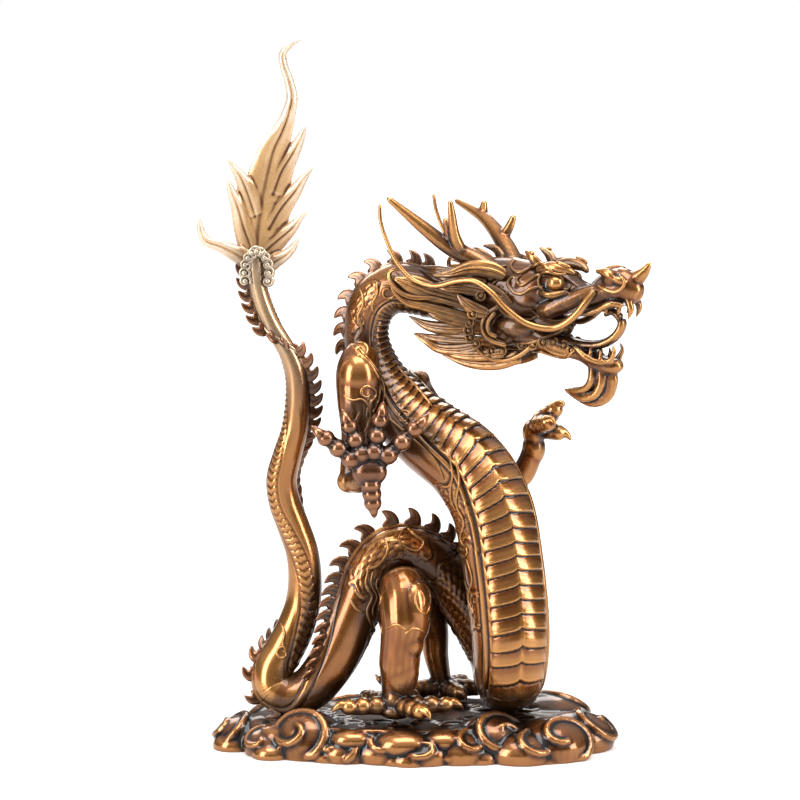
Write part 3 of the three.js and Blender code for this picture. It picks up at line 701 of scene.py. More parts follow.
head_lumps = [
    jaw(UPPER_HEAD),
    jaw(LOWER_JAW),
    *both_balls(46, 17, -1, [25, 12, 14]),
    *both_sides([(60, 17, -9), (74, 18, -8), (92, 15, 0), (108, 12, 7), (128, 8, 16)], [7, 10, 10.5, 9, 6]),
    *both_balls(34, 15, -28, [24, 12, 13]),
    *both_balls(20, 14, -36, [20, 12, 14]),
    head_strand([(40, 0, -18), (70, 0, -23), (94, 0, -28)], [16, 13, 8], [13, 12, 7], face=UP),
    *both_balls(141, 10, 26, [11, 8, 9]),
    *both_sides([(60, 16, 30), (80, 19, 34), (94, 17, 32), (104, 11, 27)], [5, 6.5, 5, 2]),
    *both_sides([(66, 22, 10), (82, 27, 8), (98, 20, 12)], [3, 4, 2.5]),
    *both_sides([(122, 9, 32), (136, 14, 32), (150, 14, 26), (158, 10, 22)], [3, 5, 5, 3]),
    *both_sides([(92, 12, -14), (110, 15, -10), (126, 15, -6), (142, 15, 2), (156, 11, 0)],
                [1.6, 3, 3.4, 3.4, 3]),
    *both_sides([(98, 13, -42), (105, 13, -46), (113, 13, -52), (126, 11, -57), (144, 8, -55)],
                [1.6, 3, 3.4, 3.2, 2.4]),
    *both_sides([(157, 8, 8), (161, 9, -4), (157, 9, -14)], [4, 3.2, 0.6]),
    *both_sides([(148, 10, 4), (149, 11, -5), (146, 10, -11)], [3, 2.4, 0.5]),
    *both_sides([(138, 8, -56), (143, 9, -46), (140, 8, -38)], [3.2, 2.4, 0.5]),
    *both_sides([(128, 10, -56), (129, 10, -49), (127, 10, -44)], [2.6, 2, 0.5]),
    *both_sides([(118, 11, -54), (118, 11, -47), (116, 11, -43)], [2.4, 1.9, 0.5]),
    *both_sides([(136, 13, 2), (136, 13, -6), (134, 12, -11)], [2.6, 2, 0.5]),
    *both_sides([(124, 13, -4), (124, 13, -11), (122, 12, -15)], [2.4, 1.9, 0.5]),
    *both_sides([(64, 14, 32), (56, 17, 42), (46, 15, 49)], [6, 5, 1.2], [4, 3, 0.8]),
    *both_sides([(8, 12, 34), (-4, 16, 44), (-18, 14, 47)], [6, 4.5, 1.2], [4, 3, 0.8]),
    head_strand([(148, 0, 18), (160, 0, 25), (170, 0, 33), (178, 0, 44)], [10, 9, 6, 1.6]),
    head_strand([(130, 0, -58), (135, 0, -76), (130, 0, -92), (115, 0, -99), (98, 0, -95), (82, 0, -89)],
                [8, 8, 7, 6, 4, 0.8], [6, 6, 5, 5, 3, 0.6]),
    *both_sides([(124, 5, -58), (128, 7, -76), (122, 8, -90), (108, 7, -95), (96, 4, -92), (83, 1, -89)],
                [5, 5, 4.5, 4, 3, 0.6], [3.6, 3.6, 3.4, 3, 2, 0.6]),
    *both_sides([(116, 6, -56), (119, 9, -72), (114, 9, -83), (102, 7, -88), (92, 4, -89), (84, 1, -88)],
                [4, 4.5, 4, 3.5, 2.5, 0.6], [3, 3.4, 3, 2.6, 2, 0.6]),
    head_strand([(66, 0, -36), (98, 0, -42), (124, 0, -41), (141, 0, -31), (147, 0, -18),
                 (137, 0, -8), (126, 0, -13)],
                [12, 10, 9, 7.5, 6, 5, 2.5], [6, 5, 4.8, 4.6, 4.4, 3.8, 2.2],
                face=UP - HEAD_FORWARD * 0.6, rings=44),
]
head = fused("head", head_lumps, 0.00098, 4)
# Hollows pressed into the wax: place, size across and depth, in squares.
HOLLOWS = [
    ((147, 15, 30), 4.2, 4.0),
    ((96, 22, 22), 5.5, 2.6),
    ((72, 24, 16), 6.0, 2.6),
    ((90, 24, -18), 8.0, 3.0),
    ((126, 10, 24), 7.0, 2.2),
    ((60, 26, -16), 7.0, 2.2),
    ((40, 28, 16), 6.0, 1.6),
    ((10, 27, -14), 8.0, 2.4),
]
rows = coordinates(head)
normals = normals_of(head)
for (forward, near, up), size, depth in HOLLOWS:
    for side in (1, -1):
        reach = np.linalg.norm(rows - on_head(forward, near * side, up), axis=1) / (size * SQUARE)
        rows = rows - normals * (depth * SQUARE * np.exp(-(reach**2)))[:, None]
set_coordinates(head, rows)
dragon_pieces.append(head)
head_skin = skin_of([head])


def head_cord(places, half):
    """The same cord on both sides of the head, drawn from the side as [forward, up]."""
    flat = np.array([[forward, up, 0] for forward, up in places], float)
    fine = smooth_path(flat, np.zeros(len(flat)), CORD_STEPS * len(flat))[0]
    cords = []
    for side in (1, -1):
        starts = [on_head(forward, 90 * side, up) for forward, up, _ in fine]
        spots = landed(head_skin, starts, -HEAD_NEAR * side, half * 0.5 * SQUARE)
        if len(spots) > 3:
            share = np.linspace(0, 1, len(spots))
            sizes = half * np.interp(share, [0, 0.2, 0.7, 1], [0.6, 1, 1, 0.45])
            cords.append(strand(eased_path(spots), sizes, rings=len(spots) * 2, around=8, face=HEAD_NEAR))
    return cords


HEAD_CORDS = [
    ([(84, 31), (70, 37), (57, 34), (47, 27), (37, 28), (31, 34), (35, 40)], 1.9),
    ([(79, 25), (66, 27), (58, 21), (49, 15), (43, 19), (47, 25)], 1.9),
    ([(72, 15), (60, 13), (50, 7), (40, 9), (34, 17), (38, 23), (43, 20)], 1.9),
    ([(52, 41), (38, 46), (25, 41), (17, 45), (12, 40)], 1.8),
    ([(64, 43), (50, 49), (38, 53), (30, 50)], 1.8),
    ([(36, 8), (28, 3), (22, 8), (25, 14), (30, 12)], 1.7),
    ([(24, 20), (16, 14), (8, 18), (10, 25), (16, 24)], 1.8),
    ([(28, 32), (18, 30), (8, 34), (2, 30)], 1.7),
    ([(96, 30), (88, 29), (76, 31), (68, 27), (66, 18), (72, 11), (84, 9), (95, 12), (98, 18)], 1.9),
    ([(100, 34), (90, 38), (78, 41), (66, 40)], 2.0),
    ([(62, -14), (52, -19), (40, -19), (30, -14), (24, -5), (26, 4)], 1.8),
    ([(96, -14), (84, -19), (74, -19), (64, -14), (58, -6)], 1.6),
    ([(92, -24), (80, -32), (68, -38), (54, -42), (40, -43)], 2.0),
    ([(20, -8), (10, -18), (6, -30), (12, -42), (26, -49), (40, -50)], 2.2),
    ([(26, -14), (17, -22), (14, -31), (20, -40), (30, -43)], 1.6),
    ([(104, -46), (92, -54), (78, -54), (66, -50), (52, -52)], 1.9),
    ([(128, 18), (136, 16), (146, 14), (154, 18), (156, 26), (150, 30)], 2.0),
    ([(104, 20), (110, 26), (118, 27)], 1.5),
]
head_pieces = []
for places, half in HEAD_CORDS:
    head_pieces += head_cord(places, half)
head_cords = joined("head_curls", head_pieces)
eyes = closed(joined("eyes", both_balls(83, 18.5, 19, [9, 8.5, 8.5])))
dragon_pieces += [head_cords, eyes]


# Antlers and whiskers. Rods cast by themselves and brazed into sockets on the skull and lip. The
# whiskers are drawn bronze wire, thick as a pencil at the lip and tapering to the tip.
ANTLER_HALF = 0.0126 / 2 / SQUARE
WHISKER_HALF = 0.0056 / 2 / SQUARE
# The near antler, then the far one, which was cast a little lower: a beam and two tines each.
ANTLERS = [
    ([(22, 20, 20), (-4, 25, 37), (-29, 34, 50), (-54, 46, 71), (-84, 62, 99)],
     [1.5, 1.35, 1.1, 0.85, 0.35]),
    ([(-16, 32, 45), (-19, 39, 62), (-20, 43, 82), (-21, 45, 98)], [0.95, 0.72, 0.55, 0.3]),
    ([(-25, 34, 49), (-28, 37, 66), (-29, 40, 79)], [0.75, 0.6, 0.35]),
    ([(20, -14, 26), (5, -26, 42), (-9, -35, 54), (-34, -48, 70), (-76, -62, 85)],
     [1.5, 1.3, 1.1, 0.85, 0.35]),
    ([(-36, -49, 70), (-37, -52, 78), (-37, -54, 87)], [0.7, 0.6, 0.35]),
    ([(-6, -33, 52), (1, -36, 63), (6, -38, 76)], [0.85, 0.65, 0.4]),
]
antler_lumps = [
    head_strand(path, np.array(shares) * ANTLER_HALF, rings=36, around=14)
    for path, shares in ANTLERS
]
antlers = fused("antlers", antler_lumps, 0.001, 2)
WHISKER = [
    (125, 13, 15),
    (119, 21, 4),
    (108, 26, -11),
    (87, 29, -24),
    (62, 36, -21),
    (41, 41, -7),
    (25, 44, 9),
    (7, 46, 19),
    (-11, 48, 18),
    (-34, 52, 12),
    (-56, 55, 17),
    (-74, 57, 33),
    (-86, 57, 54),
    (-94, 56, 74),
    (-96, 54, 91),
]
taper = [WHISKER_HALF * (1.25 - 0.055 * step) for step in range(len(WHISKER))]
whiskers = joined("whiskers", both_sides(WHISKER, taper, rings=110, around=12))
dragon_pieces += [antlers, whiskers]


# Ears and mane. Pointed leaves and wavy locks of bronze that sweep back from the brow, cheek and
# jaw over the neck, each hollowed down its middle, with a row of small curls where they begin.
def on_face(across, up, near):
    """A place drawn from the front, and how far it stands out from the head's middle plane."""
    forward = (across - 78 + near * math.sin(HEAD_TURN)) / math.cos(HEAD_TURN)
    return at(across, up, -4 - forward * math.sin(HEAD_TURN) - near * math.cos(HEAD_TURN))


def far_twin(spots):
    """The same places on the far side of the head."""
    return spots - 2 * ((spots - HEAD_AT) @ HEAD_NEAR)[..., None] * HEAD_NEAR


def both_locks(points, wide, thick=3.6, groove=0.5):
    """A lock and its twin on the far side of the head."""
    near_side = np.array([on_face(*point) for point in points])
    flat = np.minimum(thick, wide)
    return [
        strand(side, wide, flat, HEAD_NEAR, rings=30, around=16, groove=groove)
        for side in (near_side, far_twin(near_side))
    ]


LOCKS = [
    ([(93, 439, 28), (78, 445, 33), (57, 447, 38), (38, 442, 43), (19, 440, 47)], [6, 8.5, 7.5, 4.5, 0.6]),
    ([(74, 433, 30), (46, 434, 41), (20, 431, 47)], [5, 5.5, 0.6]),
    ([(50, 441, 33), (25, 446, 36), (6, 450, 32)], [4.5, 4.5, 0.6]),
    ([(50, 434, 38), (32, 438, 42), (14, 444, 40)], [3.5, 4, 0.6]),
    ([(72, 423, 31), (48, 427, 41), (33, 428, 45), (16, 433, 48)], [5, 5.5, 4.5, 0.6]),
    ([(52, 415, 36), (18, 424, 46), (-2, 432, 52), (-19, 438, 57)], [6, 11, 10, 1.2]),
    ([(64, 405, 33), (38, 413, 43), (20, 418, 48), (0, 419, 53), (-13, 425, 57), (-22, 436, 60),
      (-22, 444, 60), (-14, 448, 58)],
     [2.8, 2.8, 2.8, 2.7, 2.6, 2.4, 2, 1]),
    ([(60, 397, 33), (33, 404, 42), (12, 410, 48), (-6, 415, 52), (-18, 426, 56), (-21, 433, 58)],
     [6, 6, 5, 4, 2.8, 0.8]),
    ([(76, 402, 33), (62, 406, 38), (52, 413, 41), (44, 422, 43)], [5, 7.5, 6, 0.8]),
    ([(60, 391, 33), (38, 397, 39), (24, 401, 43), (14, 406, 45)], [5, 5.5, 4.5, 0.6]),
    ([(62, 389, 31), (38, 388, 36), (16, 391, 39), (-4, 401, 41)], [5, 6.5, 5.5, 0.6]),
    ([(62, 382, 30), (40, 383, 33), (22, 387, 36), (8, 391, 37)], [5, 5, 3.6, 0.6]),
    ([(62, 377, 29), (42, 377, 32), (22, 379, 34), (3, 384, 35)], [4.5, 4.6, 3.8, 0.6]),
    ([(68, 371, 27), (45, 367, 30), (26, 369, 32), (14, 376, 34), (1, 384, 35)], [5.5, 6.4, 5.4, 3.8, 0.6]),
    ([(92, 364, 23), (68, 361, 27), (46, 362, 30), (28, 366, 31)], [6, 6, 5, 0.6]),
    ([(108, 361, 17), (84, 354, 21), (56, 355, 25), (30, 362, 28)], [7, 7.5, 6, 0.6]),
]
lock_pieces = []
for path, wide in LOCKS:
    lock_pieces += both_locks(path, wide)
    if max(wide) > 4:
        raised = [(across, up, near + 2.6) for across, up, near in path]
        lock_pieces += both_locks(raised, [0.24 * half for half in wide], 1.6, 0)
RIBBONS = [
    [(61, 378, 31), (66, 366, 30), (78, 358, 27), (92, 356, 24), (107, 362, 21), (118, 371, 19),
     (126, 378, 17)],
    [(86, 410, 30), (74, 402, 33), (69, 391, 34), (73, 380, 33), (82, 374, 31), (94, 371, 28)],
    [(82, 404, 32), (75, 394, 34), (76, 384, 33), (84, 379, 31)],
    [(126, 377, 18), (134, 367, 16), (146, 362, 14), (158, 362, 12), (166, 368, 11)],
    [(74, 432, 31), (84, 426, 30), (93, 418, 29), (98, 411, 29)],
]
for path in RIBBONS:
    lock_pieces += both_locks(path, [2.4] * len(path), 2.4, 0)
mane = joined("mane", lock_pieces)
# Curls in a row from the ear down round the jaw, drawn from the front: [across, up].
CURL_ROW = [
    (68, 420), (60, 402), (57, 394), (56, 386), (58, 379), (63, 373), (70, 368), (79, 366),
    (89, 366), (99, 369), (109, 372), (119, 372), (129, 374), (139, 374), (149, 371), (157, 366),
]
mane_skin = skin_of([head, mane])
sight = at(0, 0, 1) - at(0, 0, 0)
bead_pieces = []
for step, (across, up) in enumerate(CURL_ROW):
    for spot in landed(mane_skin, [at(across, up, -260)], sight):
        for middle, side in ((spot, 1), (far_twin(spot), -1)):
            bead_pieces.append(ball(middle, [2.7, 2.7, 2.7], 15))
            turns = [0.9 * math.pi * hop / 4 + 2.0 + 0.7 * (step % 3) for hop in range(8)]
            ring = [
                middle + (RIGHT * math.cos(turn) + UP * math.sin(turn)) * 4.4 * SQUARE
                + HEAD_NEAR * side * 0.6 * SQUARE
                for turn in turns
            ]
            bead_pieces.append(strand(ring, np.linspace(1.7, 1.0, 8), rings=20, around=8, face=HEAD_NEAR))
jaw_beads = joined("jaw_curls", bead_pieces)
dragon_pieces += [mane, jaw_beads]


# Flame of the tail. A thin cast blade with eight tongues, each with a line carved up its middle,
# that grows out of a collar of curls at the tail's end.
FLAME_HALF = 0.0044 / 2 / SQUARE
FLAME = [
    [((-156, 440, 6), 10), ((-153, 487, 8), 22), ((-149, 517, 9), 22), ((-143, 544, 9), 19),
     ((-137, 566, 8), 15.5), ((-128, 585, 7), 10.5), ((-122, 602, 6), 7.4), ((-119, 617, 6), 6),
     ((-122, 633, 7), 5.2), ((-127, 648, 8), 4.6), ((-128, 659, 8), 4.2),
     ((-120, 668.5, 6), 3.2), ((-109, 673.5, 4), 0.6)],
    [((-156, 500, 8), 13), ((-164, 524, 7), 10), ((-170, 538, 5), 6.6), ((-178, 549, 2), 3.6),
     ((-185, 557.5, 0), 0.5)],
    [((-160, 468, 7), 14), ((-168, 490, 7), 10.5), ((-173, 508, 6), 8), ((-180, 526, 3), 4.4),
     ((-184, 538.5, 1), 0.5)],
    [((-158, 452, 6), 9), ((-174, 462, 3), 9), ((-190, 470, -3), 7), ((-205, 476, -7), 5.6),
     ((-210, 488, -9), 3.6), ((-211, 502, -8), 0.5)],
    [((-138, 522, 9), 16), ((-129, 545, 9), 12), ((-118, 563, 8), 7.6), ((-110, 578, 6), 4.6),
     ((-104.5, 591, 4), 0.5)],
    [((-142, 488, 9), 16), ((-130, 508, 9), 11.5), ((-117, 524, 8), 7.6), ((-107, 538, 6), 4.4),
     ((-96.5, 549.5, 4), 0.5)],
    [((-146, 466, 8), 13), ((-133, 477, 8), 10), ((-120, 488, 7), 6.6), ((-111, 498, 5), 3.6),
     ((-102.5, 505, 3), 0.5)],
    [((-150, 446, 6), 9), ((-137, 455, 5), 8), ((-124, 463, 3), 5.6), ((-116, 472, 1), 3.4),
     ((-112.4, 480, -1), 0.5)],
]
MIDLINE_STEPS = 280
tongues = []
for tongue in FLAME:
    wide = np.array([half for _, half in tongue], float)
    thick = np.minimum(FLAME_HALF, wide)
    points = [at(*place) for place, _ in tongue]
    tongues.append(strand(points, wide, thick, rings=14 * len(tongue), around=24, blunt=0.15))
flame = fused("tail_flame", tongues, 0.00095, 3)
# Each tongue swells softly to either side of a carved line that runs up its middle.
rows = coordinates(flame)
reach = np.full(len(rows), 1.0)
face_side = np.sign(rows[:, 1] - at(0, 0, 7)[1])
for tongue in FLAME:
    halves = np.array([half for _, half in tongue], float)
    places = np.array([at(*place) for place, _ in tongue])
    line, half_sizes = smooth_path(places, halves[:, None] * SQUARE, MIDLINE_STEPS)[:2]
    for spot, half in zip(line, half_sizes[:, 0]):
        share = np.linalg.norm((rows - spot)[:, [0, 2]], axis=1) / max(half, SQUARE)
        nearer = share < reach
        reach[nearer] = share[nearer]
        face_side[nearer] = np.sign(rows[nearer, 1] - spot[1])
swell = 1.8 * (1 - reach**2) - 0.9 * np.exp(-((reach / 0.17) ** 2))
rows[:, 1] += face_side * swell * SQUARE
set_coordinates(flame, rows)
curls = []
CURLS = 11
for step in range(CURLS):
    turn = math.pi * (-0.12 + 1.24 * step / (CURLS - 1))
    for side in (-1, 1):
        across, up = -155 + 12 * math.cos(turn), 443 + 21 * math.sin(turn)
        middle = at(across, up, 1 + 6 * side)
        curls.append(ball(middle, [3.4, 3.4, 3.4], 15))
        places = drawn_curl((across, up), 6.2, 2.2, 1.1, turn + 2.2, 1 if math.cos(turn) < 0 else -1)
        winding = [at(x, y, 1 + 7 * side) for x, y in places]
        curls.append(strand(winding, np.linspace(1.9, 1.1, len(places)), rings=30, around=8))
collar = joined("flame_collar", curls)
dragon_pieces += [flame, collar]


# Plinth. A thick oval casting of piled clouds, flat underneath. A scroll winds in over each large
# cloud, and smaller clouds, round shoulders and wisps lie between. It is darker than the figure,
# with dirt and old wax left in the rolls, and shade painted in where the clouds crowd together.
PLINTH_LENGTH = 0.322
PLINTH_DEPTH = 0.156
CLOUDS = [
    ((-0.86, 0.02), 0.19, 0.95), ((-0.72, -0.36), 0.17, 0.85), ((-0.66, 0.42), 0.22, 1.15),
    ((-0.54, -0.42), 0.2, 1.35), ((-0.33, 0.64), 0.22, 1.05), ((-0.34, -0.6), 0.17, 0.8),
    ((-0.14, -0.6), 0.2, 0.9), ((0.02, 0.7), 0.24, 1), ((0.06, -0.7), 0.18, 0.85),
    ((0.25, -0.64), 0.19, 0.95), ((0.42, 0.66), 0.2, 0.95), ((0.4, -0.52), 0.2, 1.3),
    ((0.57, -0.66), 0.19, 0.9), ((0.72, -0.5), 0.22, 1.2), ((0.73, 0.42), 0.24, 1.3),
    ((0.86, -0.08), 0.22, 1.1), ((0.9, 0.2), 0.15, 0.7),
]
SCROLL_HALF = 4.2
RIM_SHOULDERS = 19
WISPS = 26


def cloud_form(spot, width, height):
    """A cloud's middle, and its half sizes in squares of the drawing."""
    across, away = spot
    half = width * PLINTH_DEPTH / SQUARE
    middle = [across * PLINTH_LENGTH / 2, away * PLINTH_DEPTH / 2, height * SEAT_HEIGHT * 0.28]
    return np.array(middle), np.array([half, half * 0.88, height * SEAT_HEIGHT * 0.72 / SQUARE])


bpy.ops.object.select_all(action="DESELECT")
bpy.ops.mesh.primitive_cylinder_add(vertices=72, radius=1, depth=1)
core = bpy.context.object
rows = coordinates(core)
grow = np.where(rows[:, 2] > 0, 0.8, 0.85)
rows = rows * [PLINTH_LENGTH / 2, PLINTH_DEPTH / 2, SEAT_HEIGHT] + [0, 0, SEAT_HEIGHT / 2]
rows[:, 0] *= grow
rows[:, 1] *= grow
set_coordinates(core, rows)
cloud_lumps = [core]
for cloud in CLOUDS:
    cloud_lumps.append(ball(*cloud_form(*cloud)))


def cloud_scroll(middle, halves, way, turns, thick):
    """A rolled edge that winds in over a cloud's outer shoulder to its eye."""
    pole = unit(np.array([math.cos(way), math.sin(way), 0.75]))
    first = unit(np.cross(pole, UP))
    second = np.cross(pole, first)
    points = []
    for step in range(34):
        share = step / 33
        lean = 1.25 * (1 - share) + 0.16 * share
        turn = 0.6 + share * 2 * math.pi * turns
        outwards = first * math.cos(turn) + second * math.sin(turn)
        on_ball = pole * math.cos(lean) + outwards * math.sin(lean)
        points.append(middle + unit(on_ball) * np.asarray(halves) * SQUARE * 1.01)
    points = [point for point in points if point[2] > 0.0035]
    return strand(points, np.linspace(thick, thick * 0.55, len(points)), rings=90, around=10)


for number, ((across, away), width, height) in enumerate(CLOUDS):
    middle, halves = cloud_form((across, away), width, height)
    half = halves[0]
    outwards = math.atan2(away, across * 0.8)
    lean = 0.35 * math.sin(number * 2.3)
    turns = 1.5 + 0.3 * math.cos(number * 1.7)
    thick = SCROLL_HALF * height**0.5
    cloud_lumps.append(cloud_scroll(middle, halves, outwards + lean, turns, thick))
    if height < 1:
        # A smaller cloud swells from one flank of each low one.
        turn = outwards + math.copysign(0.85, lean)
        spot = middle + np.array([math.cos(turn) * 0.6, math.sin(turn) * 0.52, 0]) * half * SQUARE
        spot[2] = 0.003
        cloud_lumps.append(ball(spot, [half * 0.62, half * 0.56, half * 0.4]))
# Rounded shoulders, no two alike, all round the rim of the flat.
for step in range(RIM_SHOULDERS):
    turn = 2 * math.pi * (step + 0.3 * math.sin(step * 2.9)) / RIM_SHOULDERS
    size = 1 + 0.2 * math.sin(step * 1.9)
    spot = [
        math.cos(turn) * PLINTH_LENGTH * 0.385,
        math.sin(turn) * PLINTH_DEPTH * 0.38,
        SEAT_HEIGHT - 12.5 * size * SQUARE,
    ]
    cloud_lumps.append(ball(spot, [25 * size, 19 * size, 13 * size]))
# Low wisps that run over the flat between the clouds.
for step in range(WISPS):
    turn = 2 * math.pi * step / WISPS
    reach = 0.56 + 0.13 * math.sin(step * 2.4)
    middle = np.array([
        math.cos(turn) * PLINTH_LENGTH / 2 * reach,
        math.sin(turn) * PLINTH_DEPTH / 2 * reach,
        SEAT_HEIGHT - 0.001,
    ])
    points = []
    for hop in range(9):
        share = hop / 8
        swing = turn + 1.2 + share * 5.0
        radius = (13 - 9 * share) * SQUARE
        swirl = [math.cos(swing) * radius * 1.3, math.sin(swing) * radius, 0.0012 * share]
        points.append(middle + np.array(swirl))
    cloud_lumps.append(strand(points, np.linspace(3.4, 2.0, 9), rings=36, around=8))
plinth = fused("cloud_plinth_cast", cloud_lumps, 0.00155, 2)
rows = coordinates(plinth)
rows[:, 2] = np.maximum(rows[:, 2], 0)
set_coordinates(plinth, rows)


# Bronze. Warm brown statuary bronze: a hot brown patina, rubbed back to the metal on the high
# places, nearly black where polish and wax stay in the hollows, and sealed with clear wax. The same
# near black is painted in as shade where the metal crowds round, between limbs and body and in folds.
FINE_HOLLOW = 0.00022
BROAD_HOLLOW = 0.0011
# Painted shade: a corner is darkened by how full of metal the cells just outside it are, where limbs, folds
# and clouds crowd together.
CROWDING_CELL = 0.004
CROWDING_REACH = 0.014
OPEN_AIR = 0.03
SHUT_IN_SPAN = 0.16
COAT_WEIGHT = 0.9
COAT_ROUGHNESS = 0.1
GRAIN_STRENGTH = 0.12
GRAIN_DEPTH = 0.0006


def patina_masks(piece):
    """An attribute for how hollow or proud the skin is, near and far round each corner."""
    mesh = piece.data
    rows = coordinates(piece)
    normals = normals_of(piece)
    edges = np.empty(len(mesh.edges) * 2, int)
    mesh.edges.foreach_get("vertices", edges)
    a, b = edges.reshape(-1, 2).T
    count = np.bincount(a, minlength=len(rows)) + np.bincount(b, minlength=len(rows))
    count = np.maximum(count, 1)[:, None]

    def eased(field, times):
        for _ in range(times):
            total = [
                np.bincount(a, column[b], len(rows)) + np.bincount(b, column[a], len(rows))
                for column in field.T
            ]
            field = 0.5 * field + 0.5 * np.stack(total, 1) / count
        return field

    near = eased(rows, 3)
    far = eased(near, 22)
    fine = ((near - rows) * normals).sum(1)
    broad = ((far - rows) * normals).sum(1)
    hollow = np.clip(fine / FINE_HOLLOW, -1, 1) * 0.55 + np.clip(broad / BROAD_HOLLOW, -1, 1) * 0.6
    hollow = eased(hollow[:, None], 1)[:, 0]
    layer = mesh.attributes.new("hollow", "FLOAT", "POINT")
    layer.data.foreach_set("value", np.clip(hollow, -1, 1).astype(np.float32))


def crowding(pieces):
    """An attribute for how shut in each corner is by the metal round about, used to paint shade into the
    colour where parts crowd together.
    """
    clouds = [coordinates(piece) for piece in pieces]
    cell = CROWDING_CELL
    low = np.min([rows.min(0) for rows in clouds], 0) - 12 * cell
    high = np.max([rows.max(0) for rows in clouds], 0) + 12 * cell
    shape = np.ceil((high - low) / cell).astype(int)
    grid = np.zeros(shape, np.float32)
    for rows in clouds:
        spots = ((rows - low) / cell).astype(int)
        grid[spots[:, 0], spots[:, 1], spots[:, 2]] = 1
    for _ in range(2):
        for axis in range(3):
            total = np.zeros_like(grid)
            for shift in range(-3, 4):
                total += np.roll(grid, shift, axis)
            grid = total / 7
    for piece, rows in zip(pieces, clouds):
        out = rows + normals_of(piece) * CROWDING_REACH
        spots = np.clip(((out - low) / cell).astype(int), 0, np.array(shape) - 1)
        dense = grid[spots[:, 0], spots[:, 1], spots[:, 2]]
        layer = piece.data.attributes.new("shut_in_shade", "FLOAT", "POINT")
        shut = np.clip((dense - OPEN_AIR) / SHUT_IN_SPAN, 0, 1)
        layer.data.foreach_set("value", shut.astype(np.float32))


def linear(red, green, blue):
    """A shade as an eye sees it, 0 to 255, in the numbers that light adds up in."""
    return tuple(((value / 255 + 0.055) / 1.055) ** 2.4 for value in (red, green, blue)) + (1.0,)


def shader_node(tree, kind, **settings):
    made = tree.nodes.new(kind)
    for key, value in settings.items():
        setattr(made, key, value)
    return made


def fill(made, values):
    for socket, value in values.items():
        made.inputs[socket].default_value = value


def patina_group():
    """Colour and roughness of patinated bronze from how hollow the skin is, with shade painted in where it
    is shut in by the metal round about.
    """
    group = bpy.data.node_groups.new("rubbed_patina", "ShaderNodeTree")
    face = group.interface
    for name, kind, way in (
        ("Rubbed", "NodeSocketColor", "INPUT"), ("Patina", "NodeSocketColor", "INPUT"),
        ("Hollow and shade colour", "NodeSocketColor", "INPUT"), ("Painted shade", "NodeSocketFloat", "INPUT"),
        ("Colour", "NodeSocketColor", "OUTPUT"), ("Roughness", "NodeSocketFloat", "OUTPUT"),
        ("Grain", "NodeSocketFloat", "OUTPUT"),
    ):
        face.new_socket(name=name, in_out=way, socket_type=kind)
    links = group.links

    def node(kind, **settings):
        return shader_node(group, kind, **settings)

    def sum_of(operation, first, second, third=None):
        made = node("ShaderNodeMath", operation=operation)
        for socket, value in zip(made.inputs, (first, second, third)):
            if value is None:
                continue
            if isinstance(value, (int, float)):
                socket.default_value = value
            else:
                links.new(value, socket)
        return made.outputs[0]

    def stepped(value, low, high, to_low, to_high):
        made = node("ShaderNodeMapRange", interpolation_type="SMOOTHSTEP")
        links.new(value, made.inputs["Value"])
        fill(made, {"From Min": low, "From Max": high, "To Min": to_low, "To Max": to_high})
        return made.outputs["Result"]

    def mixed(share, first, second):
        made = node("ShaderNodeMix", data_type="RGBA")
        links.new(share, made.inputs["Factor"])
        links.new(first, made.inputs[6])
        links.new(second, made.inputs[7])
        return made.outputs[2]

    start, end = node("NodeGroupInput"), node("NodeGroupOutput")
    hollow = node("ShaderNodeAttribute", attribute_name="hollow").outputs["Fac"]
    shut_in_shade = node("ShaderNodeAttribute", attribute_name="shut_in_shade").outputs["Fac"]
    place = node("ShaderNodeTexCoord").outputs["Object"]

    def cloudy(scale, detail):
        made = node("ShaderNodeTexNoise")
        fill(made, {"Scale": scale, "Detail": detail})
        links.new(place, made.inputs["Vector"])
        return made.outputs["Fac"]

    broad, fine = cloudy(22, 4), cloudy(420, 3)
    mottled = sum_of("MULTIPLY_ADD", broad, 0.5, hollow)
    dark = stepped(mottled, 0.16, 0.62, 0.0, 1.0)
    rubbed = stepped(mottled, 0.22, -0.32, 0.0, 1.0)
    # Painted shade where the metal crowds round, taken with the dark patina of the hollows; both turn the
    # colour to the hollow colour.
    shade = sum_of("MULTIPLY", stepped(shut_in_shade, 0.25, 1.0, 0.0, 0.75), start.outputs["Painted shade"])
    patina_and_painted_shade = sum_of("MAXIMUM", dark, shade)
    base = mixed(rubbed, start.outputs["Patina"], start.outputs["Rubbed"])
    links.new(mixed(patina_and_painted_shade, base, start.outputs["Hollow and shade colour"]), end.inputs["Colour"])
    rough = sum_of("MULTIPLY_ADD", patina_and_painted_shade, 0.26, sum_of("MULTIPLY_ADD", fine, 0.1, 0.17))
    links.new(rough, end.inputs["Roughness"])
    links.new(sum_of("MULTIPLY_ADD", broad, 0.6, fine), end.inputs["Grain"])
    return group


PATINA = patina_group()


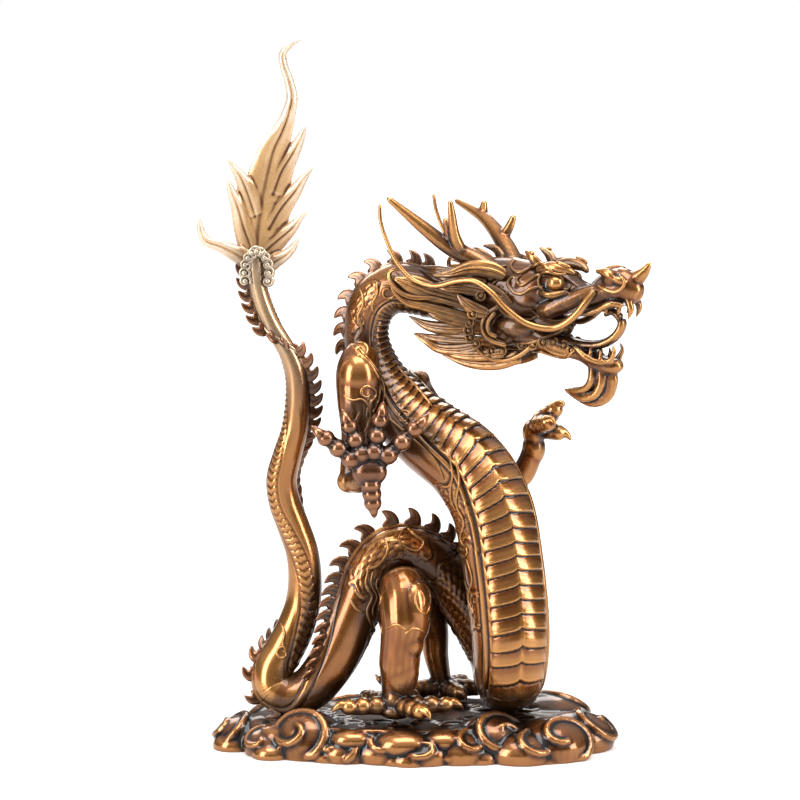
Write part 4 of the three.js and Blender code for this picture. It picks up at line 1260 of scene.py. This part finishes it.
def bronze(name, rubbed, patina, hollow, painted_shade=1.0, high=None, metal=0.8):
    """Waxed statuary bronze, with shade painted in where the metal crowds round, as strong as the fourth
    argument says. high is from and to what height it turns to two paler shades of painted light.
    """
    material = bpy.data.materials.new(name)
    material.use_nodes = True
    tree = material.node_tree
    links = tree.links
    skin = tree.nodes["Principled BSDF"]
    group = shader_node(tree, "ShaderNodeGroup", node_tree=PATINA)
    fill(group, {"Rubbed": rubbed, "Patina": patina, "Hollow and shade colour": hollow, "Painted shade": painted_shade})
    # Painted light: the colours turn to paler shades with height.
    if high is not None:
        spot = shader_node(tree, "ShaderNodeTexCoord")
        split = shader_node(tree, "ShaderNodeSeparateXYZ")
        climb = shader_node(tree, "ShaderNodeMapRange", interpolation_type="SMOOTHSTEP")
        fill(climb, {"From Min": high[0], "From Max": high[1]})
        links.new(spot.outputs["Object"], split.inputs[0])
        links.new(split.outputs["Z"], climb.inputs["Value"])
        for socket, low_shade, high_shade in (("Rubbed", rubbed, high[2]), ("Patina", patina, high[3])):
            tint = shader_node(tree, "ShaderNodeMix", data_type="RGBA")
            fill(tint, {6: low_shade, 7: high_shade})
            links.new(climb.outputs["Result"], tint.inputs["Factor"])
            links.new(tint.outputs[2], group.inputs[socket])
    links.new(group.outputs["Colour"], skin.inputs["Base Color"])
    links.new(group.outputs["Roughness"], skin.inputs["Roughness"])
    fill(skin, {"Metallic": metal, "Coat Weight": COAT_WEIGHT, "Coat Roughness": COAT_ROUGHNESS})
    bump = shader_node(tree, "ShaderNodeBump")
    fill(bump, {"Strength": GRAIN_STRENGTH, "Distance": GRAIN_DEPTH})
    links.new(group.outputs["Grain"], bump.inputs["Height"])
    links.new(bump.outputs["Normal"], skin.inputs["Normal"])
    return material


RUBBED = linear(206, 144, 76)
PATINA_BROWN = linear(146, 84, 33)
HOLLOW_AND_SHADE_BROWN = linear(20, 11, 7)
figure_bronze = bronze("figure_bronze", RUBBED, PATINA_BROWN, HOLLOW_AND_SHADE_BROWN)
dark_bronze = bronze("dark_bronze", linear(166, 110, 70), linear(98, 54, 28), linear(16, 9, 7))
plinth_bronze = bronze("plinth_bronze", linear(186, 124, 66), linear(116, 66, 28), linear(12, 7, 5))
# Painted light: the tail and its collar turn to two paler shades higher up, standing in for the light that
# washes the top of the tail out.
tail_painted_light_bronze = bronze("tail_painted_light_bronze", RUBBED, PATINA_BROWN, HOLLOW_AND_SHADE_BROWN, 1.0,
                     (0.26, 0.4, linear(246, 222, 192), linear(226, 186, 140)))
# Painted light: the flame's pale, bright shades stand in for the light that washes it out.
flame_painted_light_bronze = bronze("flame_painted_light_bronze", linear(250, 226, 200), linear(228, 180, 122),
                      linear(96, 56, 30), 0.5, None, 0.4)
for piece in dragon_pieces:
    patina_masks(piece)
    piece.data.materials.clear()
    piece.data.materials.append(figure_bronze)
    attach(piece, "root")
    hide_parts("dragon")
patina_masks(plinth)
crowding(dragon_pieces + [plinth])
back_fins.data.materials[0] = dark_bronze
near_paw.data.materials[0] = dark_bronze
eyes.data.materials[0] = bronze("eye_bronze", RUBBED, RUBBED, HOLLOW_AND_SHADE_BROWN, 0.0)
tail.data.materials[0] = tail_painted_light_bronze
collar.data.materials[0] = tail_painted_light_bronze
flame.data.materials[0] = flame_painted_light_bronze
plinth.data.materials.clear()
plinth.data.materials.append(plinth_bronze)
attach(plinth, "root")
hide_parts("cloud_plinth")


# Studio. A pale sweep of floor, soft boxes to the left, the right, above and behind, and the
# camera 9 degrees above level, far enough away to keep the upright lines true.
bpy.ops.object.select_all(action="DESELECT")
bpy.ops.mesh.primitive_plane_add(size=16, location=(0, 0, 0))
floor = bpy.context.object
floor.name = "floor"
paper = bpy.data.materials.new("white_paper")
paper.use_nodes = True
tree = paper.node_tree
sheen = tree.nodes["Principled BSDF"]
fill(sheen, {"Base Color": (0.6, 0.6, 0.6, 1), "Roughness": 0.8, "Emission Color": (1, 1, 1, 1)})
spread = shader_node(tree, "ShaderNodeTexCoord")
length = shader_node(tree, "ShaderNodeVectorMath", operation="LENGTH")
glow = shader_node(tree, "ShaderNodeMapRange")
fill(glow, {"From Min": 0.3, "From Max": 2.6, "To Min": 0.42, "To Max": 1.0})
seen_by = shader_node(tree, "ShaderNodeLightPath")
lit = shader_node(tree, "ShaderNodeMath", operation="MULTIPLY")
tree.links.new(spread.outputs["Object"], length.inputs[0])
tree.links.new(length.outputs["Value"], glow.inputs["Value"])
tree.links.new(glow.outputs["Result"], lit.inputs[0])
tree.links.new(seen_by.outputs["Is Camera Ray"], lit.inputs[1])
tree.links.new(lit.outputs[0], sheen.inputs["Emission Strength"])
floor.data.materials.append(paper)

world = bpy.data.worlds.new("studio")
bpy.context.scene.world = world
world.use_nodes = True
tree = world.node_tree
links = tree.links
background = tree.nodes["Background"]
spot = shader_node(tree, "ShaderNodeTexCoord")
split = shader_node(tree, "ShaderNodeSeparateXYZ")
ramp = shader_node(tree, "ShaderNodeValToRGB")
ramp.color_ramp.elements[0].position = 0.42
ramp.color_ramp.elements[0].color = (0.12, 0.115, 0.11, 1)
ramp.color_ramp.elements[1].position = 1.0
ramp.color_ramp.elements[1].color = (1.0, 0.98, 0.96, 1)
middle_tone = ramp.color_ramp.elements.new(0.6)
middle_tone.color = (0.06, 0.055, 0.055, 1)
halved = shader_node(tree, "ShaderNodeMath", operation="MULTIPLY_ADD")
fill(halved, {1: 0.5, 2: 0.5})
ray = shader_node(tree, "ShaderNodeLightPath")
seen = shader_node(tree, "ShaderNodeMix", data_type="RGBA")
fill(seen, {7: (1.0, 1.0, 1.0, 1)})
links.new(spot.outputs["Generated"], split.inputs[0])
links.new(split.outputs["Z"], halved.inputs[0])
links.new(halved.outputs[0], ramp.inputs[0])
links.new(ray.outputs["Is Camera Ray"], seen.inputs["Factor"])
links.new(ramp.outputs["Color"], seen.inputs[6])
links.new(seen.outputs[2], background.inputs["Color"])
background.inputs["Strength"].default_value = 1.0

SUBJECT = Vector((-0.0101, 0.0, 0.2976))


def soft_box(name, place, size, power):
    bpy.ops.object.light_add(type="AREA", location=place)
    light = bpy.context.object
    light.name = name
    light.data.shape = "RECTANGLE"
    light.data.size, light.data.size_y = size
    light.data.energy = power
    light.rotation_euler = (SUBJECT - Vector(place)).to_track_quat("-Z", "Y").to_euler()
    return light


soft_box("left_box", (-1.7, -1.3, 0.9), (0.9, 1.8), 34)
soft_box("right_box", (1.8, -0.9, 1.0), (0.6, 1.8), 26)
soft_box("top_box", (0.1, -0.5, 2.2), (1.8, 1.2), 34)
soft_box("back_box", (-0.4, 2.0, 1.6), (2.2, 1.0), 24)

CAMERA_DISTANCE = 3.5
SENSOR = 36.0
PICTURE_SQUARES = 800
bpy.ops.object.camera_add()
camera = bpy.context.object
camera.data.sensor_width = SENSOR
camera.data.lens = SENSOR * CAMERA_DISTANCE / (PICTURE_SQUARES * SQUARE)
camera.data.clip_end = 60
camera.location = SUBJECT + Vector((0, -math.cos(DRAWN_FROM), math.sin(DRAWN_FROM))) * CAMERA_DISTANCE
camera.rotation_euler = (math.pi / 2 - DRAWN_FROM, 0, 0)
bpy.context.scene.camera = camera
bpy.context.scene.view_settings.view_transform = "Standard"
